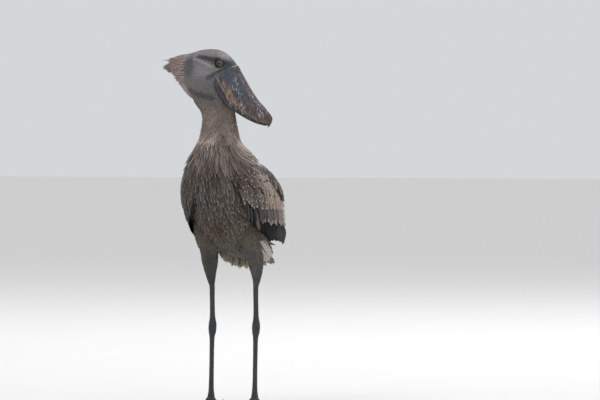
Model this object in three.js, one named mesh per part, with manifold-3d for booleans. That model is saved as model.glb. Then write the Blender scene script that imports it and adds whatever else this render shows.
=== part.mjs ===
// Shoebill: a life-size still model of the standing bird, with its head turned to its own left.
// Millimetres, +Z up. The breast faces -Y and the bird's left side is +X. Sizes below are given from a
// point on the floor between the feet, and the finished bird is then moved so that the origin lies on
// the floor under the middle of its plan.
import * as THREE from "three";
import { mergeVertices } from "three/addons/utils/BufferGeometryUtils.js";
import Module from "manifold-3d";

const wasm = await Module();
wasm.setup();

// Driving sizes.
const GAP = 0.3; // between nodes that touch
const CLEAR = 0.6; // how far a curved neighbour is cut back, which leaves at least GAP
const EYE_LEVEL = 1055.5; // height of the eyes above the floor
const HEAD_X = 13; // middle of the head, between the eyes
const HEAD_Y = -140;
const EYE_RADIUS = 13;
const EYE_OUT = 34; // from the middle of the head to an eyeball's centre
const RIDGE = 0.03; // how far the culmen stands up, as a share of the bill's depth
const UPPER_FULLNESS = 0.8; // power of the bill's arch: the smaller, the squarer its section
const LOWER_FULLNESS = 0.5;
const LID_RADIUS = 10.6;
const LID_THICK = 2.8;
const NOSTRIL_SLOPE = 1.03; // how far the nostrils and the base of the culmen slope down, in radians
const LEG_X = 71; // from the middle plane to each leg
const FOOT_Y = -15; // where the ball of each foot stands, from front to back
const THIGH_END = 362; // height where the feathered shank ends and bare skin starts
const ANKLE = 238;
const FOOT_TOP = 26;
const BALL_RADIUS = 17;
const BALL_HEIGHT = 11;
const NECK_BASE = 806; // heights of the cuts that part torso, neck and head
const NECK_TOP = 940;

// Spine of the torso and neck: x, y, z, half width, depth to the belly side, depth to the back side.
const TRUNK = [
  [0, 236, 492, 8, 6, 6],
  [0, 205, 502, 40, 46, 34],
  [0, 160, 519, 74, 78, 60],
  [0, 105, 546, 98, 104, 84],
  [0, 40, 586, 119, 131, 98],
  [0, -25, 636, 127, 147, 112],
  [0, -78, 694, 122, 136, 106],
  [-6, -108, 750, 99, 104, 82],
  [-7, -124, 800, 73, 82, 64],
  [-4, -131, 850, 58, 66, 58],
  [-6, -134, 900, 52, 58, 54],
  [-21, -136, 946, 66, 54, 54],
  [-30, -138, 990, 64, 48, 48],
];

// Head from the nape to the forehead: forward, height, half width, depth above, depth below.
const SKULL = [
  [-160, -8, 10, 14, 16],
  [-150, -14, 30, 36, 36],
  [-128, -22, 46, 52, 62],
  [-100, -26, 57, 62, 84],
  [-68, -28, 62, 73, 88],
  [-36, -30, 59, 77, 82],
  [-8, -32, 52, 74, 74],
  [18, -34, 45, 60, 62],
  [40, -38, 35, 36, 40],
  [52, -44, 18, 18, 20],
];

// Upper bill: ridge point and edge point, each forward and height, with the half width at the edge.
const UPPER_BILL = [
  [32, -20, -28, -46, 45],
  [42, -5.5, -18, -38, 52],
  [58, -32, -2, -56, 55],
  [74, -59, 14, -84, 56],
  [91, -87, 30, -112, 55],
  [108, -111, 52, -141, 50],
  [125, -129, 80, -162, 41],
  [140, -146, 108, -177, 29],
  [151, -159, 128, -184, 19],
  [156, -171, 139, -188, 11],
  [152, -184, 144, -192, 6],
  [144, -196, 141, -195.4, 2],
];

// Lower bill: keel point and edge point, in the same way.
const LOWER_BILL = [
  [-30, -64, -26, -48, 44],
  [-22, -80, -14, -42, 49],
  [-12, -100, 0, -58, 52],
  [3, -118, 14, -84, 53],
  [22, -136, 30, -112, 52],
  [46, -150, 52, -141, 47],
  [77, -169, 80, -162, 38],
  [106, -183.5, 108, -177, 26],
  [127, -189.5, 128, -184, 15],
  [136, -191, 136.5, -187.5, 5],
];

// Folded wing of the left side, front to back: upper edge and lower edge as x, y, z, then how far its
// outer face bulges and how deep it reaches inwards. The right wing is mirrored, and is the left one's
// like but for its front, which it holds further back from the breast.
const WING = [
  [60, -158, 738, 64, -189, 664, 10, 30],
  [98, -112, 744, 74, -158, 596, 34, 60],
  [106, -46, 738, 97, -97, 550, 40, 60],
  [100, 30, 712, 112, -32, 516, 44, 60],
  [66, 110, 656, 104, 50, 502, 46, 56],
  [36, 190, 598, 94, 140, 502, 44, 40],
  [24, 270, 552, 78, 235, 504, 26, 22],
  [20, 335, 522, 54, 325, 508, 10, 6],
];
const RIGHT_FRONT = [
  [62, -158, 742, 70, -184, 660, 10, 30],
  [104, -112, 752, 110, -150, 592, 24, 60],
  [114, -45, 746, 122, -95, 548, 38, 60],
];
const WING_TUCK = 27; // how much closer the right wing's lower edge is held to the body
const CORE_SHARE = 0.86; // of the wing's height that is solid under the feathers
const CORE_REACH = 0.93; // of its length
const CORE_DEPTH = 3; // how deep the solid lies under the feathers' outer face

// Tiers of wing feathers: how many, row of WING at the first and last tip, height of the tips (or share
// down the wing), steps back to the root in rows and in share, lift of the tip, width, and stretches that
// each is bent in.
const WING_TIERS = [
  { count: 14, first: 1.3, last: 6.9, tipHeight: 505, back: 1.6, rise: 0.3, lift: 2, width: 32, spans: 4 },
  { count: 11, first: 1.2, last: 4.8, tipHeight: 556, back: 1, rise: 0.25, lift: 7, width: 30, spans: 3 },
  { count: 9, first: 0.8, last: 6.7, tipShare: 0.36, back: 0.9, rise: 0.34, lift: 4, width: 42, spans: 3 },
];
const WING_VANE = 1; // thickness
const WING_TILT = -0.14; // a wing feather's turn about its shaft, its upper edge out
const WING_ROOT = -9; // depth of a root under the wing's outer face
const RISE = 2.4; // a wing feather has risen to its full lift by 1 / RISE of its length

// Tail along its middle: y, z, half width, half thickness. Its feathers reach over the whole length.
const TAIL = [
  [176, 526, 26, 12],
  [218, 516, 30, 9],
  [262, 507, 33, 6],
  [306, 499, 35, 3.5],
  [345, 493, 36, 2],
];
const TAIL_FEATHERS = 10;
const TAIL_STEP = 2; // from one feather down to the next on the same side
const TAIL_CORE = 0.42; // of the tail's length that is solid round the roots

// Feathered thigh and shank of the left leg: x, y, z, half width, half depth.
const THIGH = [
  [62, -66, 560, 30, 46],
  [68, -46, 508, 28, 48],
  [72, -26, 474, 27, 42],
  [74, -14, 445, 25.5, 35],
  [75, -7, 417, 20, 27],
  [74.5, -3, 394, 15, 19],
  [72.5, -1, 374, 10.5, 13],
  [71.5, -1, THIGH_END, 8.6, 10],
];

// Bare leg below it: y, z, half width, half depth.
const LEG = [
  [-1, THIGH_END, 8, 9],
  [0, 320, 7.6, 8.6],
  [2, 275, 8.2, 10],
  [3, 252, 11.5, 14],
  [2, ANKLE, 12.5, 15],
  [0, 222, 11, 12.5],
  [-3, 200, 7.6, 9],
  [-7, 120, 7, 8.4],
  [-11, 50, 8, 9],
  [-12, FOOT_TOP, 11, 12],
  [-13, 10, 12, 13],
];

// Toes: name, turn from straight ahead towards the inner side in degrees, length, half width at the root.
// A toe makes way at its root for those before it.
const TOES = [
  ["middle", -5, 146, 9],
  ["inner", 22, 116, 8.2],
  ["outer", -34, 126, 8.4],
  ["hind", 164, 62, 7.8],
];
const CLAW_LENGTH = 24;

// Crest feathers on the nape, from under the skin to the tip: height at the root, side, tip's distance
// back from the eyes, tip's height, width.
const CREST = [
  [14, -6, 197, 7, 5],
  [18, 12, 181, 23, 8],
  [18, -14, 178, 16, 8],
  [6, 18, 184, 4, 8],
  [2, -20, 186, -2, 8],
  [0, 4, 190, -6, 8],
  [-6, 24, 180, -10, 8],
  [-8, -10, 191, -15, 8],
  [-12, -26, 179, -18, 8],
  [-14, 14, 183, -22, 8],
  [-20, -18, 177, -27, 8],
  [-22, 6, 179, -31, 8],
  [-28, 24, 170, -34, 8],
  [-32, -24, 168, -41, 8],
  [-34, -4, 170, -44, 8],
];
const CREST_ROOT = 134; // distance of the roots back from the eyes

// Loose feathers under the tail: y of a row, how many, how far it spreads, height of its middle tip.
const UNDERTAIL = [
  [108, 7, 84, 420],
  [146, 6, 72, 404],
  [178, 5, 52, 414],
];
const UNDERTAIL_WIDTH = 26;

// Loose feathers behind each thigh: x, y and z of the tip.
const THIGH_TUFT = [
  [96, 62, 456],
  [103, 70, 466],
  [90, 56, 447],
  [85, 62, 454],
];

const materials = {
  plumage: new THREE.MeshStandardMaterial({ color: 0x7b716c, roughness: 0.9 }),
  flight: new THREE.MeshStandardMaterial({ color: 0x3d3b3e, roughness: 0.75 }),
  bill: new THREE.MeshStandardMaterial({ color: 0x4d4a50, roughness: 0.4 }),
  eye: new THREE.MeshStandardMaterial({ color: 0x8d8265, roughness: 0.1 }),
  leg: new THREE.MeshStandardMaterial({ color: 0x3c434a, roughness: 0.65 }),
  claw: new THREE.MeshStandardMaterial({ color: 0x2b2826, roughness: 0.45 }),
};

// Smooth values between the rows of a table, for a parameter that runs from 0 to 1 along it.
function along(rows) {
  const last = rows.length - 1;
  const row = (k) => rows[Math.min(Math.max(k, 0), last)];
  return (t) => {
    const at = Math.min(Math.max(t, 0), 1) * last;
    const i = Math.min(Math.floor(at), last - 1);
    const f = at - i;
    return row(i).map((p1, c) => {
      const p0 = row(i - 1)[c];
      const p2 = row(i + 1)[c];
      const p3 = row(i + 2)[c];
      const bend = (2 * p0 - 5 * p1 + 4 * p2 - p3) * f * f;
      return 0.5 * (2 * p1 + (p2 - p0) * f + bend + (3 * p1 - p0 - 3 * p2 + p3) * f ** 3);
    });
  };
}

// A three.js geometry as a closed solid with its faces pointing out.
function solid(geometry) {
  const bare = geometry.clone();
  bare.deleteAttribute("normal");
  bare.deleteAttribute("uv");
  const merged = mergeVertices(bare, 1e-4);
  const triVerts = new Uint32Array(merged.index.array);
  const vertProperties = new Float32Array(merged.attributes.position.array);
  const made = new wasm.Manifold(new wasm.Mesh({ numProp: 3, vertProperties, triVerts }));
  if (made.volume() > 0) return made;
  for (let i = 0; i < triVerts.length; i += 3) {
    [triVerts[i + 1], triVerts[i + 2]] = [triVerts[i + 2], triVerts[i + 1]];
  }
  return new wasm.Manifold(new wasm.Mesh({ numProp: 3, vertProperties, triVerts }));
}

// A closed form: place(t, turn, r) moves each ring of a cylinder, where t runs along it, turn goes
// round it in radians and r is 0 only at the middle of an end.
function form(sides, rings, place) {
  const geometry = new THREE.CylinderGeometry(1, 1, 1, sides, rings);
  const position = geometry.attributes.position;
  for (let i = 0; i < position.count; i++) {
    const x = position.getX(i);
    const z = position.getZ(i);
    const r = Math.hypot(x, z);
    const turn = Math.atan2(x, z);
    position.setXYZ(i, ...place(position.getY(i) + 0.5, turn, r > 0.5 ? 1 : 0));
  }
  return solid(geometry);
}

const fuse = (pieces) => pieces.reduce((whole, piece) => whole.add(piece));
const cut = (piece, ...tools) => tools.reduce((rest, tool) => rest.subtract(tool), piece);

// The largest closed surface of a solid, without loose scraps or sealed hollows.
function largest(piece) {
  return piece.decompose().reduce((a, b) => (b.volume() > a.volume() ? b : a));
}

// A thin vane from root to tip: place(t, across, face) gives the point at t along it, across from -1 to
// 1 and on its outer (1) or inner (-1) face. Both faces are split into triangles alike.
function vane(spans, place) {
  const sheet = new THREE.PlaneGeometry(1, 1, 1, spans);
  const flat = sheet.attributes.position;
  const corners = [];
  for (const face of [1, -1]) {
    for (let i = 0; i < flat.count; i++) {
      corners.push(...place(0.5 - flat.getY(i), 2 * flat.getX(i), face));
    }
  }
  const outer = Array.from(sheet.index.array);
  const inner = outer.map((i) => i + flat.count).reverse();
  const left = Array.from({ length: spans + 1 }, (_, i) => 2 * i);
  const rim = left.concat(left.map((i) => i + 1).reverse());
  const wall = rim.flatMap((a, i) => {
    const b = rim[(i + 1) % rim.length];
    return [b, a, a + flat.count, b, a + flat.count, b + flat.count];
  });
  const geometry = new THREE.BufferGeometry();
  geometry.setAttribute("position", new THREE.Float32BufferAttribute(corners, 3));
  geometry.setIndex(outer.concat(inner, wall));
  return solid(geometry);
}

// A feather: path(t) is its shaft from root to tip and facing(t) the way its outer face looks. It widens
// from its root, rounds off at its tip, thins towards it, and is turned about its shaft by tilt.
function feather(path, facing, { width, thick, spans, tilt = 0 }) {
  return vane(spans, (step, across, face) => {
    const t = 1 - (1 - step) ** 1.4;
    const ahead = path(t + 0.01).sub(path(t - 0.01)).normalize();
    const beside = new THREE.Vector3().crossVectors(ahead, facing(t)).normalize();
    const out = new THREE.Vector3().crossVectors(beside, ahead);
    const rounded = Math.max(Math.sqrt(1 - Math.min(t, 1) ** 5), 0.2);
    const half = (width / 2) * Math.min(1, 0.55 + t) * rounded;
    const point = path(t);
    point.addScaledVector(beside, across * half * Math.cos(tilt));
    point.addScaledVector(out, across * half * Math.sin(tilt) + face * (thick / 2) * (1 - 0.4 * t));
    return point.toArray();
  });
}

// The shaft of a feather that is all but straight between two points, bowed by so much on the way.
function shaft(root, tip, bow) {
  return (t) => root.clone().lerp(tip, t).addScaledVector(bow, Math.sin(Math.PI * t));
}

// A slab of space between two heights, wide enough to hold the bird.
function between(low, high) {
  const box = new THREE.BoxGeometry(1000, 1400, high - low);
  box.translate(0, 0, (low + high) / 2);
  return solid(box);
}

// Point in the head's own directions, forward, left and up from between the eyes, in the bird's frame.
const inHead = (forward, left, up) => [HEAD_X + forward, HEAD_Y + left, EYE_LEVEL + up];

function trunk(grow) {
  const at = along(TRUNK);
  return form(24, 18, (t, turn, r) => {
    const [x, y, z, wide, front, back] = at(t);
    const [, y0, z0] = at(t - 0.01);
    const [, y1, z1] = at(t + 0.01);
    const run = Math.hypot(y1 - y0, z1 - z0);
    const depth = (Math.cos(turn) > 0 ? front : back) + grow;
    const out = r * depth * Math.cos(turn);
    const side = r * (wide + grow) * Math.sin(turn);
    return [x + side, y - (out * (z1 - z0)) / run, z + (out * (y1 - y0)) / run];
  });
}

function skull() {
  const at = along(SKULL);
  return form(20, 13, (t, turn, r) => {
    const [f, h, wide, above, below] = at(t);
    const depth = Math.cos(turn) > 0 ? above : below;
    return inHead(f, r * wide * Math.sin(turn), h + r * depth * Math.cos(turn));
  });
}

// One half of the bill: an arch from edge to edge over the ridge or keel, closed flat between the edges.
function billHalf(rows, fullness, grow) {
  const at = along(rows);
  return form(20, 14, (t, turn, r) => {
    const [rf, rh, ef, eh, wide] = at(t);
    const reach = Math.hypot(rf - ef, rh - eh);
    const extra = grow / reach;
    const keel = RIDGE * Math.exp(-((turn / 0.2) ** 2));
    const rise = r * (Math.max(Math.cos(turn), 0) ** fullness + keel) * (1 + 2 * extra) - extra;
    const sideways = r * Math.sin(turn) * (wide + grow);
    const back = t < 0.001 ? grow : 0;
    return inHead(ef + (rf - ef) * rise - back, sideways, eh + (rh - eh) * rise + back);
  });
}

function eyeball(side, grow) {
  const ball = new THREE.SphereGeometry(EYE_RADIUS + grow, 12, 8);
  ball.rotateX(Math.PI / 2);
  ball.translate(...inHead(0, side * EYE_OUT, 0));
  return solid(ball);
}

function lids(side) {
  const ring = new THREE.TorusGeometry(LID_RADIUS, LID_THICK, 4, 12);
  ring.rotateX(Math.PI / 2);
  ring.rotateZ(side * -0.16);
  ring.translate(...inHead(1, side * (EYE_OUT + 8.5), 0));
  return solid(ring);
}

// Outer face of a wing, as on the left side, at a row of WING that need not be whole and a share down it.
// The face runs on below the lower edge, where the longest feathers' tips are.
const leftWing = along(WING);
const rightWing = along([...RIGHT_FRONT, ...WING.slice(RIGHT_FRONT.length)]);
const wingAt = (side) => (side > 0 ? leftWing : rightWing);
function wingFace(side, row, share) {
  const values = wingAt(side)(row / (WING.length - 1));
  const upper = new THREE.Vector3(...values.slice(0, 3));
  const lower = new THREE.Vector3(...values.slice(3, 6));
  const point = upper.lerp(lower, share);
  point.x += values[6] * Math.sin(0.85 * Math.PI * Math.max(share, 0) ** 0.8);
  return point;
}

function wingFacing(side, row, share) {
  const backwards = wingFace(side, row + 0.05, share).sub(wingFace(side, row - 0.05, share));
  const down = wingFace(side, row, share + 0.02).sub(wingFace(side, row, share - 0.02));
  return down.cross(backwards).normalize();
}

// A point of a wing's face on its own side, the right wing's lower edge held closer.
function wingPoint(side, point, share) {
  return [side * (point.x - (side < 0 ? WING_TUCK * share : 0)), point.y, point.z];
}

function wingCore(side) {
  const lastRow = CORE_REACH * (WING.length - 1);
  return form(12, 8, (t, turn, r) => {
    const share = CORE_SHARE * (0.5 - 0.5 * r * Math.cos(turn));
    const out = r * Math.sin(turn);
    const [bulge, depth] = wingAt(side)(t * CORE_REACH).slice(6);
    const inwards = r < 0.5 ? 0.5 : Math.max(-out, 0);
    const point = wingFace(side, t * lastRow, share);
    point.x -= CORE_DEPTH + inwards * (bulge + depth);
    return wingPoint(side, point, share);
  });
}

function wingFeathers(side) {
  return WING_TIERS.flatMap((tier) => {
    const made = [];
    for (let i = 0; i < tier.count; i++) {
      const tipRow = tier.first + ((tier.last - tier.first) * i) / (tier.count - 1);
      const upperZ = wingFace(side, tipRow, 0).z;
      const lowerZ = wingFace(side, tipRow, 1).z;
      const level = tier.tipShare ?? (upperZ - tier.tipHeight) / (upperZ - lowerZ);
      const tipShare = Math.min(level, 1.04);
      const rowAt = (t) => tipRow - tier.back * (1 - t);
      const shareAt = (t) => tipShare - tier.rise * (1 - t);
      const path = (t) => {
        const lift = WING_ROOT + (tier.lift - WING_ROOT) * Math.min(RISE * t, 1);
        const share = shareAt(t);
        const point = wingFace(side, rowAt(t), share);
        point.addScaledVector(wingFacing(side, rowAt(t), share), lift);
        return new THREE.Vector3(...wingPoint(side, point, share));
      };
      const facing = (t) => {
        const out = wingFacing(side, rowAt(t), shareAt(t));
        out.x *= side;
        return out;
      };
      const { width, spans } = tier;
      made.push(feather(path, facing, { width, spans, thick: WING_VANE, tilt: side * WING_TILT }));
    }
    return made;
  });
}

function tailSlab(reach, grow) {
  const at = along(TAIL);
  return form(8, 4, (t, turn, r) => {
    const [y, z, wide, thick] = at(t * reach);
    const past = t < 0.001 ? -grow : t > 0.999 ? grow : 0;
    return [r * (wide + grow) * Math.sin(turn), y + past, z + r * (thick + grow) * Math.cos(turn)];
  });
}

// Tail feathers, the middle one on top and each outside it a little lower, the two sides by turns.
function tailFeathers() {
  const at = along(TAIL);
  const half = (TAIL_FEATHERS - 1) / 2;
  return Array.from({ length: TAIL_FEATHERS }, (_, i) => {
    const place = (i - half) / half;
    const length = 1 - 0.06 * place * place;
    const path = (t) => {
      const [y, z, wide] = at((0.1 + 0.9 * t) * length);
      const drop = TAIL_STEP * (Math.abs(i - half) + (place > 0 ? 0.5 : 0));
      return new THREE.Vector3(place * (wide - 9) * (0.4 + 0.6 * t), y, z + 3 - drop);
    };
    return feather(path, () => new THREE.Vector3(0, 0, 1), { width: 22, thick: 1, spans: 3 });
  });
}

function crestFeathers() {
  return CREST.map(([rootHeight, beside, tipBack, tipHeight, width]) => {
    const root = new THREE.Vector3(...inHead(-CREST_ROOT, beside * 0.8, rootHeight));
    const tip = new THREE.Vector3(...inHead(-tipBack, beside, tipHeight));
    const facing = new THREE.Vector3(0, beside, rootHeight + 14).normalize();
    const bow = facing.clone().multiplyScalar(2);
    return feather(shaft(root, tip, bow), () => facing, { width, thick: 1.8, spans: 3 });
  });
}

function undertailFeathers() {
  return UNDERTAIL.flatMap(([y, count, spread, lowest]) => {
    return Array.from({ length: count }, (_, i) => {
      const place = (2 * i) / (count - 1) - 1;
      const root = new THREE.Vector3(place * spread * 0.8, y - 12, 500);
      const tip = new THREE.Vector3(place * spread, y + 22, lowest + 34 * place * place);
      const bow = new THREE.Vector3(0, -6, 0);
      const facing = new THREE.Vector3(0, -1, -0.4);
      return feather(shaft(root, tip, bow), () => facing, { width: UNDERTAIL_WIDTH, thick: 1.6, spans: 3 });
    });
  });
}

function thighTuft(side) {
  return THIGH_TUFT.map(([x, y, z]) => {
    const root = new THREE.Vector3(side * (x - 26), y - 84, z + 36);
    const tip = new THREE.Vector3(side * x, y, z);
    const facing = new THREE.Vector3(side * 0.8, 0.6, 0.2);
    const bow = new THREE.Vector3(0, 0, -3);
    return feather(shaft(root, tip, bow), () => facing, { width: 16, thick: 1.4, spans: 3 });
  });
}

function nostril(side) {
  const slit = new THREE.SphereGeometry(1, 8, 6);
  slit.scale(7.5, 1.6, 3.2);
  slit.rotateY(NOSTRIL_SLOPE);
  slit.translate(...inHead(52, side * 19, -27));
  return solid(slit);
}

function thigh(side, grow) {
  const at = along(THIGH);
  return form(14, 9, (t, turn, r) => {
    const [x, y, z, wide, deep] = at(t);
    const across = r * (wide + grow) * Math.sin(turn);
    return [side * (x + across), y + r * (deep + grow) * Math.cos(turn), z];
  });
}

function leg(side) {
  const at = along(LEG);
  return form(10, 20, (t, turn, r) => {
    const [y, z, wide, deep] = at(t);
    return [side * (LEG_X + r * wide * Math.sin(turn)), y + r * deep * Math.cos(turn), z];
  });
}

function ball(side, grow) {
  const pad = new THREE.SphereGeometry(BALL_RADIUS + grow, 12, 8);
  pad.rotateX(Math.PI / 2);
  pad.scale(1, 1, 0.85);
  pad.translate(side * LEG_X, FOOT_Y, BALL_HEIGHT);
  return solid(pad);
}

// A toe lies along the floor from the ball of the foot; its pads swell at each joint.
function toe(side, [, turnedIn, length, halfWidth], grow) {
  const heading = THREE.MathUtils.degToRad(turnedIn);
  const ahead = [-side * Math.sin(heading), -Math.cos(heading)];
  const joints = Math.round(length / 36);
  return form(7, joints * 2, (t, turn, r) => {
    const pads = 1 + 0.09 * Math.cos(t * joints * 2 * Math.PI);
    const wide = halfWidth * (1 - 0.42 * t) * pads + grow;
    const high = halfWidth * (0.95 - 0.42 * t) * pads + grow;
    const far = 8 + t * length;
    const sideways = r * wide * Math.sin(turn);
    const x = side * LEG_X + ahead[0] * far - ahead[1] * sideways;
    const y = FOOT_Y + ahead[1] * far + ahead[0] * sideways;
    return [x, y, high * 0.72 - grow + r * high * Math.cos(turn)];
  });
}

function claw(side, [, turnedIn, length, halfWidth]) {
  const heading = THREE.MathUtils.degToRad(turnedIn);
  const ahead = [-side * Math.sin(heading), -Math.cos(heading)];
  return form(6, 5, (t, turn, r) => {
    const radius = halfWidth * 0.46 * (1 - t) ** 0.8 + 0.4;
    const far = length + 2 + t * CLAW_LENGTH;
    const high = halfWidth * 0.5 + 4 * Math.sin(Math.PI * t ** 0.8) - (halfWidth * 0.5 - 0.6) * t * t;
    const sideways = r * radius * Math.sin(turn);
    const x = side * LEG_X + ahead[0] * far - ahead[1] * sideways;
    const y = FOOT_Y + ahead[1] * far + ahead[0] * sideways;
    return [x, y, high + r * radius * Math.cos(turn)];
  });
}

const bird = new THREE.Group();
bird.name = "shoebill";

// Adds a solid to the bird as a named mesh.
function node(name, piece, material) {
  const { vertProperties, triVerts, numProp, numVert } = piece.getMesh();
  const position = new Float32Array(numVert * 3);
  for (let i = 0; i < numVert; i++) {
    position.set(vertProperties.subarray(i * numProp, i * numProp + 3), i * 3);
  }
  const geometry = new THREE.BufferGeometry();
  geometry.setAttribute("position", new THREE.BufferAttribute(position, 3));
  geometry.setIndex(new THREE.BufferAttribute(new Uint32Array(triVerts), 1));
  const mesh = new THREE.Mesh(geometry, material);
  mesh.name = name;
  bird.add(mesh);
}

const upperBill = cut(billHalf(UPPER_BILL, UPPER_FULLNESS, 0), nostril(1), nostril(-1));
const upperBillRoom = billHalf(UPPER_BILL, UPPER_FULLNESS, CLEAR);
const lowerBillRoom = billHalf(LOWER_BILL, LOWER_FULLNESS, CLEAR);
const lowerBill = cut(billHalf(LOWER_BILL, LOWER_FULLNESS, 0), upperBillRoom);
const bodyRoom = trunk(CLEAR);
const tailRoom = tailSlab(1, 4);
const body = fuse([trunk(0), skull()]);
const floor = between(-200, 0);

const torso = fuse([body.intersect(between(300, NECK_BASE)), ...undertailFeathers()]);
const neck = cut(body.intersect(between(NECK_BASE + GAP, NECK_TOP)), upperBillRoom, lowerBillRoom);
const skin = body.intersect(between(NECK_TOP + GAP, 1300));
const head = cut(
  fuse([skin, ...crestFeathers(), lids(1), lids(-1)]),
  upperBillRoom,
  lowerBillRoom,
  eyeball(1, GAP),
  eyeball(-1, GAP),
);
const tail = cut(fuse([tailSlab(TAIL_CORE, 0), ...tailFeathers()]), bodyRoom);

node("torso", largest(torso), materials.plumage);
node("neck", largest(neck), materials.plumage);
node("head", largest(head), materials.plumage);
node("bill_upper", upperBill, materials.bill);
node("bill_lower", largest(lowerBill), materials.bill);
node("tail", largest(tail), materials.flight);

for (const [word, side] of [["left", 1], ["right", -1]]) {
  node(`eye_${word}`, eyeball(side, 0), materials.eye);
  const thighRoom = thigh(side, CLEAR);
  const wing = fuse([wingCore(side), ...wingFeathers(side)]);
  node(`wing_${word}`, largest(cut(wing, bodyRoom, thighRoom, tailRoom)), materials.flight);
  const limb = fuse([thigh(side, 0), ...thighTuft(side)]);
  const feathered = limb.intersect(between(THIGH_END + GAP, 700));
  node(`thigh_${word}`, largest(cut(feathered, bodyRoom)), materials.plumage);
  const bare = leg(side);
  node(`shank_${word}`, bare.intersect(between(ANKLE + GAP, THIGH_END)), materials.leg);
  node(`tarsus_${word}`, bare.intersect(between(FOOT_TOP + GAP, ANKLE)), materials.leg);
  const foot = cut(fuse([ball(side, 0), bare.intersect(between(8, FOOT_TOP))]), floor);
  const taken = [floor, ball(side, CLEAR)];
  node(`foot_${word}`, foot, materials.leg);
  for (const digit of TOES) {
    node(`toe_${digit[0]}_${word}`, largest(cut(toe(side, digit, 0), ...taken)), materials.leg);
    taken.push(toe(side, digit, CLEAR));
    const horn = cut(claw(side, digit), toe(side, digit, CLEAR));
    node(`claw_${digit[0]}_${word}`, largest(horn), materials.claw);
  }
}

const plan = new THREE.Box3().setFromObject(bird);
const middle = plan.getCenter(new THREE.Vector3());
bird.position.set(-middle.x, -middle.y, -plan.min.z);

export default bird;
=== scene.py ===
"""Shoebill: a life-size still model of the standing bird, its head turned to its own left.

Lengths in the tables are millimetres from a point on the floor between the feet, with the breast
facing -Y, the bird's left side +X and +Z up. place() turns them into metres in the model's frame.
"""
import math

import bpy
import numpy as np
from bpy.props import FloatProperty, FloatVectorProperty, IntProperty, PointerProperty
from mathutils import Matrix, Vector
from mathutils.bvhtree import BVHTree


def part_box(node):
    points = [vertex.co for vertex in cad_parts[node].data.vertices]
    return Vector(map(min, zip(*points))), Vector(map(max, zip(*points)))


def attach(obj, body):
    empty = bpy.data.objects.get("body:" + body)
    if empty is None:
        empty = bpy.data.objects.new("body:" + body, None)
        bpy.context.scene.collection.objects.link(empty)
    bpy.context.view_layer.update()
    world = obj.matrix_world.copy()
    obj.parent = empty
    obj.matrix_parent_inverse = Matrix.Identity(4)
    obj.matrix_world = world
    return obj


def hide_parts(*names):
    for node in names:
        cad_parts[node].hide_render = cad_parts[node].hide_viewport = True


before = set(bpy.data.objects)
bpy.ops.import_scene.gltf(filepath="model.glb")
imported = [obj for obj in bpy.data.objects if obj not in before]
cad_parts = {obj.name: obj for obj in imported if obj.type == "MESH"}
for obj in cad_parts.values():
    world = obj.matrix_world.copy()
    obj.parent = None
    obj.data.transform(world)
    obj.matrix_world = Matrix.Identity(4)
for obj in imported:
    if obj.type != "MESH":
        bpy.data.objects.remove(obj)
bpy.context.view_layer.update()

bl_info = {
    "name": "Shoebill",
    "version": (1, 0, 0),
    "blender": (4, 5, 0),
    "location": "3D View > Sidebar > Shoebill",
    "description": "Builds a standing shoebill with its feathers, bill, eyes, legs and a plain stage",
    "category": "Add Mesh",
}

MM = 0.001
EYES = (13, -140, 1055.5)  # midway between the eyeballs' centres
EYE_OUT = 34
EYE_RADIUS = 13
LEG_X = 71
FOOT_Y = -15
THIGH_END = 362
UP = np.array([0.0, 0.0, 1.0])


def box_middle(node):
    low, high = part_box(node)
    return (np.array(low) + np.array(high)) / 2


SHIFT = (box_middle("eye_left") + box_middle("eye_right")) / 2 - np.array(EYES) * MM


def place(points):
    """Points in millimetres from between the feet, in metres in the model's frame."""
    return np.asarray(points, float) * MM + SHIFT


def unplace(points):
    return (np.asarray(points, float) - SHIFT) / MM


# Spine of the torso and neck: x, y, z, half width, depth to the belly side, depth to the back side.
TRUNK = [
    [0, 236, 492, 8, 6, 6],
    [0, 205, 502, 40, 46, 34],
    [0, 160, 519, 74, 78, 60],
    [0, 105, 546, 98, 104, 84],
    [0, 40, 586, 119, 131, 98],
    [0, -25, 636, 127, 147, 112],
    [0, -78, 694, 122, 136, 106],
    [-6, -108, 750, 99, 104, 82],
    [-7, -124, 800, 73, 82, 64],
    [-4, -131, 850, 58, 66, 58],
    [-6, -134, 900, 52, 58, 54],
    [-21, -136, 946, 66, 54, 54],
    [-30, -138, 990, 64, 48, 48],
]

# Head from the nape to the forehead: forward, height, half width, depth above, depth below.
SKULL = [
    [-160, -8, 10, 14, 16],
    [-150, -14, 30, 36, 36],
    [-128, -22, 46, 52, 62],
    [-100, -26, 57, 62, 84],
    [-68, -28, 62, 73, 88],
    [-36, -30, 59, 77, 82],
    [-8, -32, 52, 74, 74],
    [18, -34, 45, 60, 62],
    [40, -38, 35, 36, 40],
    [52, -44, 18, 18, 20],
]

# Bill halves from the face to the tip: ridge or keel point, edge point, half width at the edge.
UPPER_BILL = [
    [32, -20, -28, -46, 45],
    [42, -5.5, -18, -38, 52],
    [58, -32, -2, -56, 55],
    [74, -59, 14, -84, 56],
    [91, -87, 30, -112, 55],
    [108, -111, 52, -141, 50],
    [125, -129, 80, -162, 41],
    [140, -146, 108, -177, 29],
    [151, -159, 128, -184, 19],
    [156, -171, 139, -188, 11],
    [152, -184, 144, -192, 6],
    [144, -196, 141, -195.4, 2],
]
LOWER_BILL = [
    [-30, -64, -26, -48, 44],
    [-22, -80, -14, -42, 49],
    [-12, -100, 0, -58, 52],
    [3, -118, 14, -84, 53],
    [22, -136, 30, -112, 52],
    [46, -150, 52, -141, 47],
    [77, -169, 80, -162, 38],
    [106, -183.5, 108, -177, 26],
    [127, -189.5, 128, -184, 15],
    [136, -191, 136.5, -187.5, 5],
]

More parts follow.
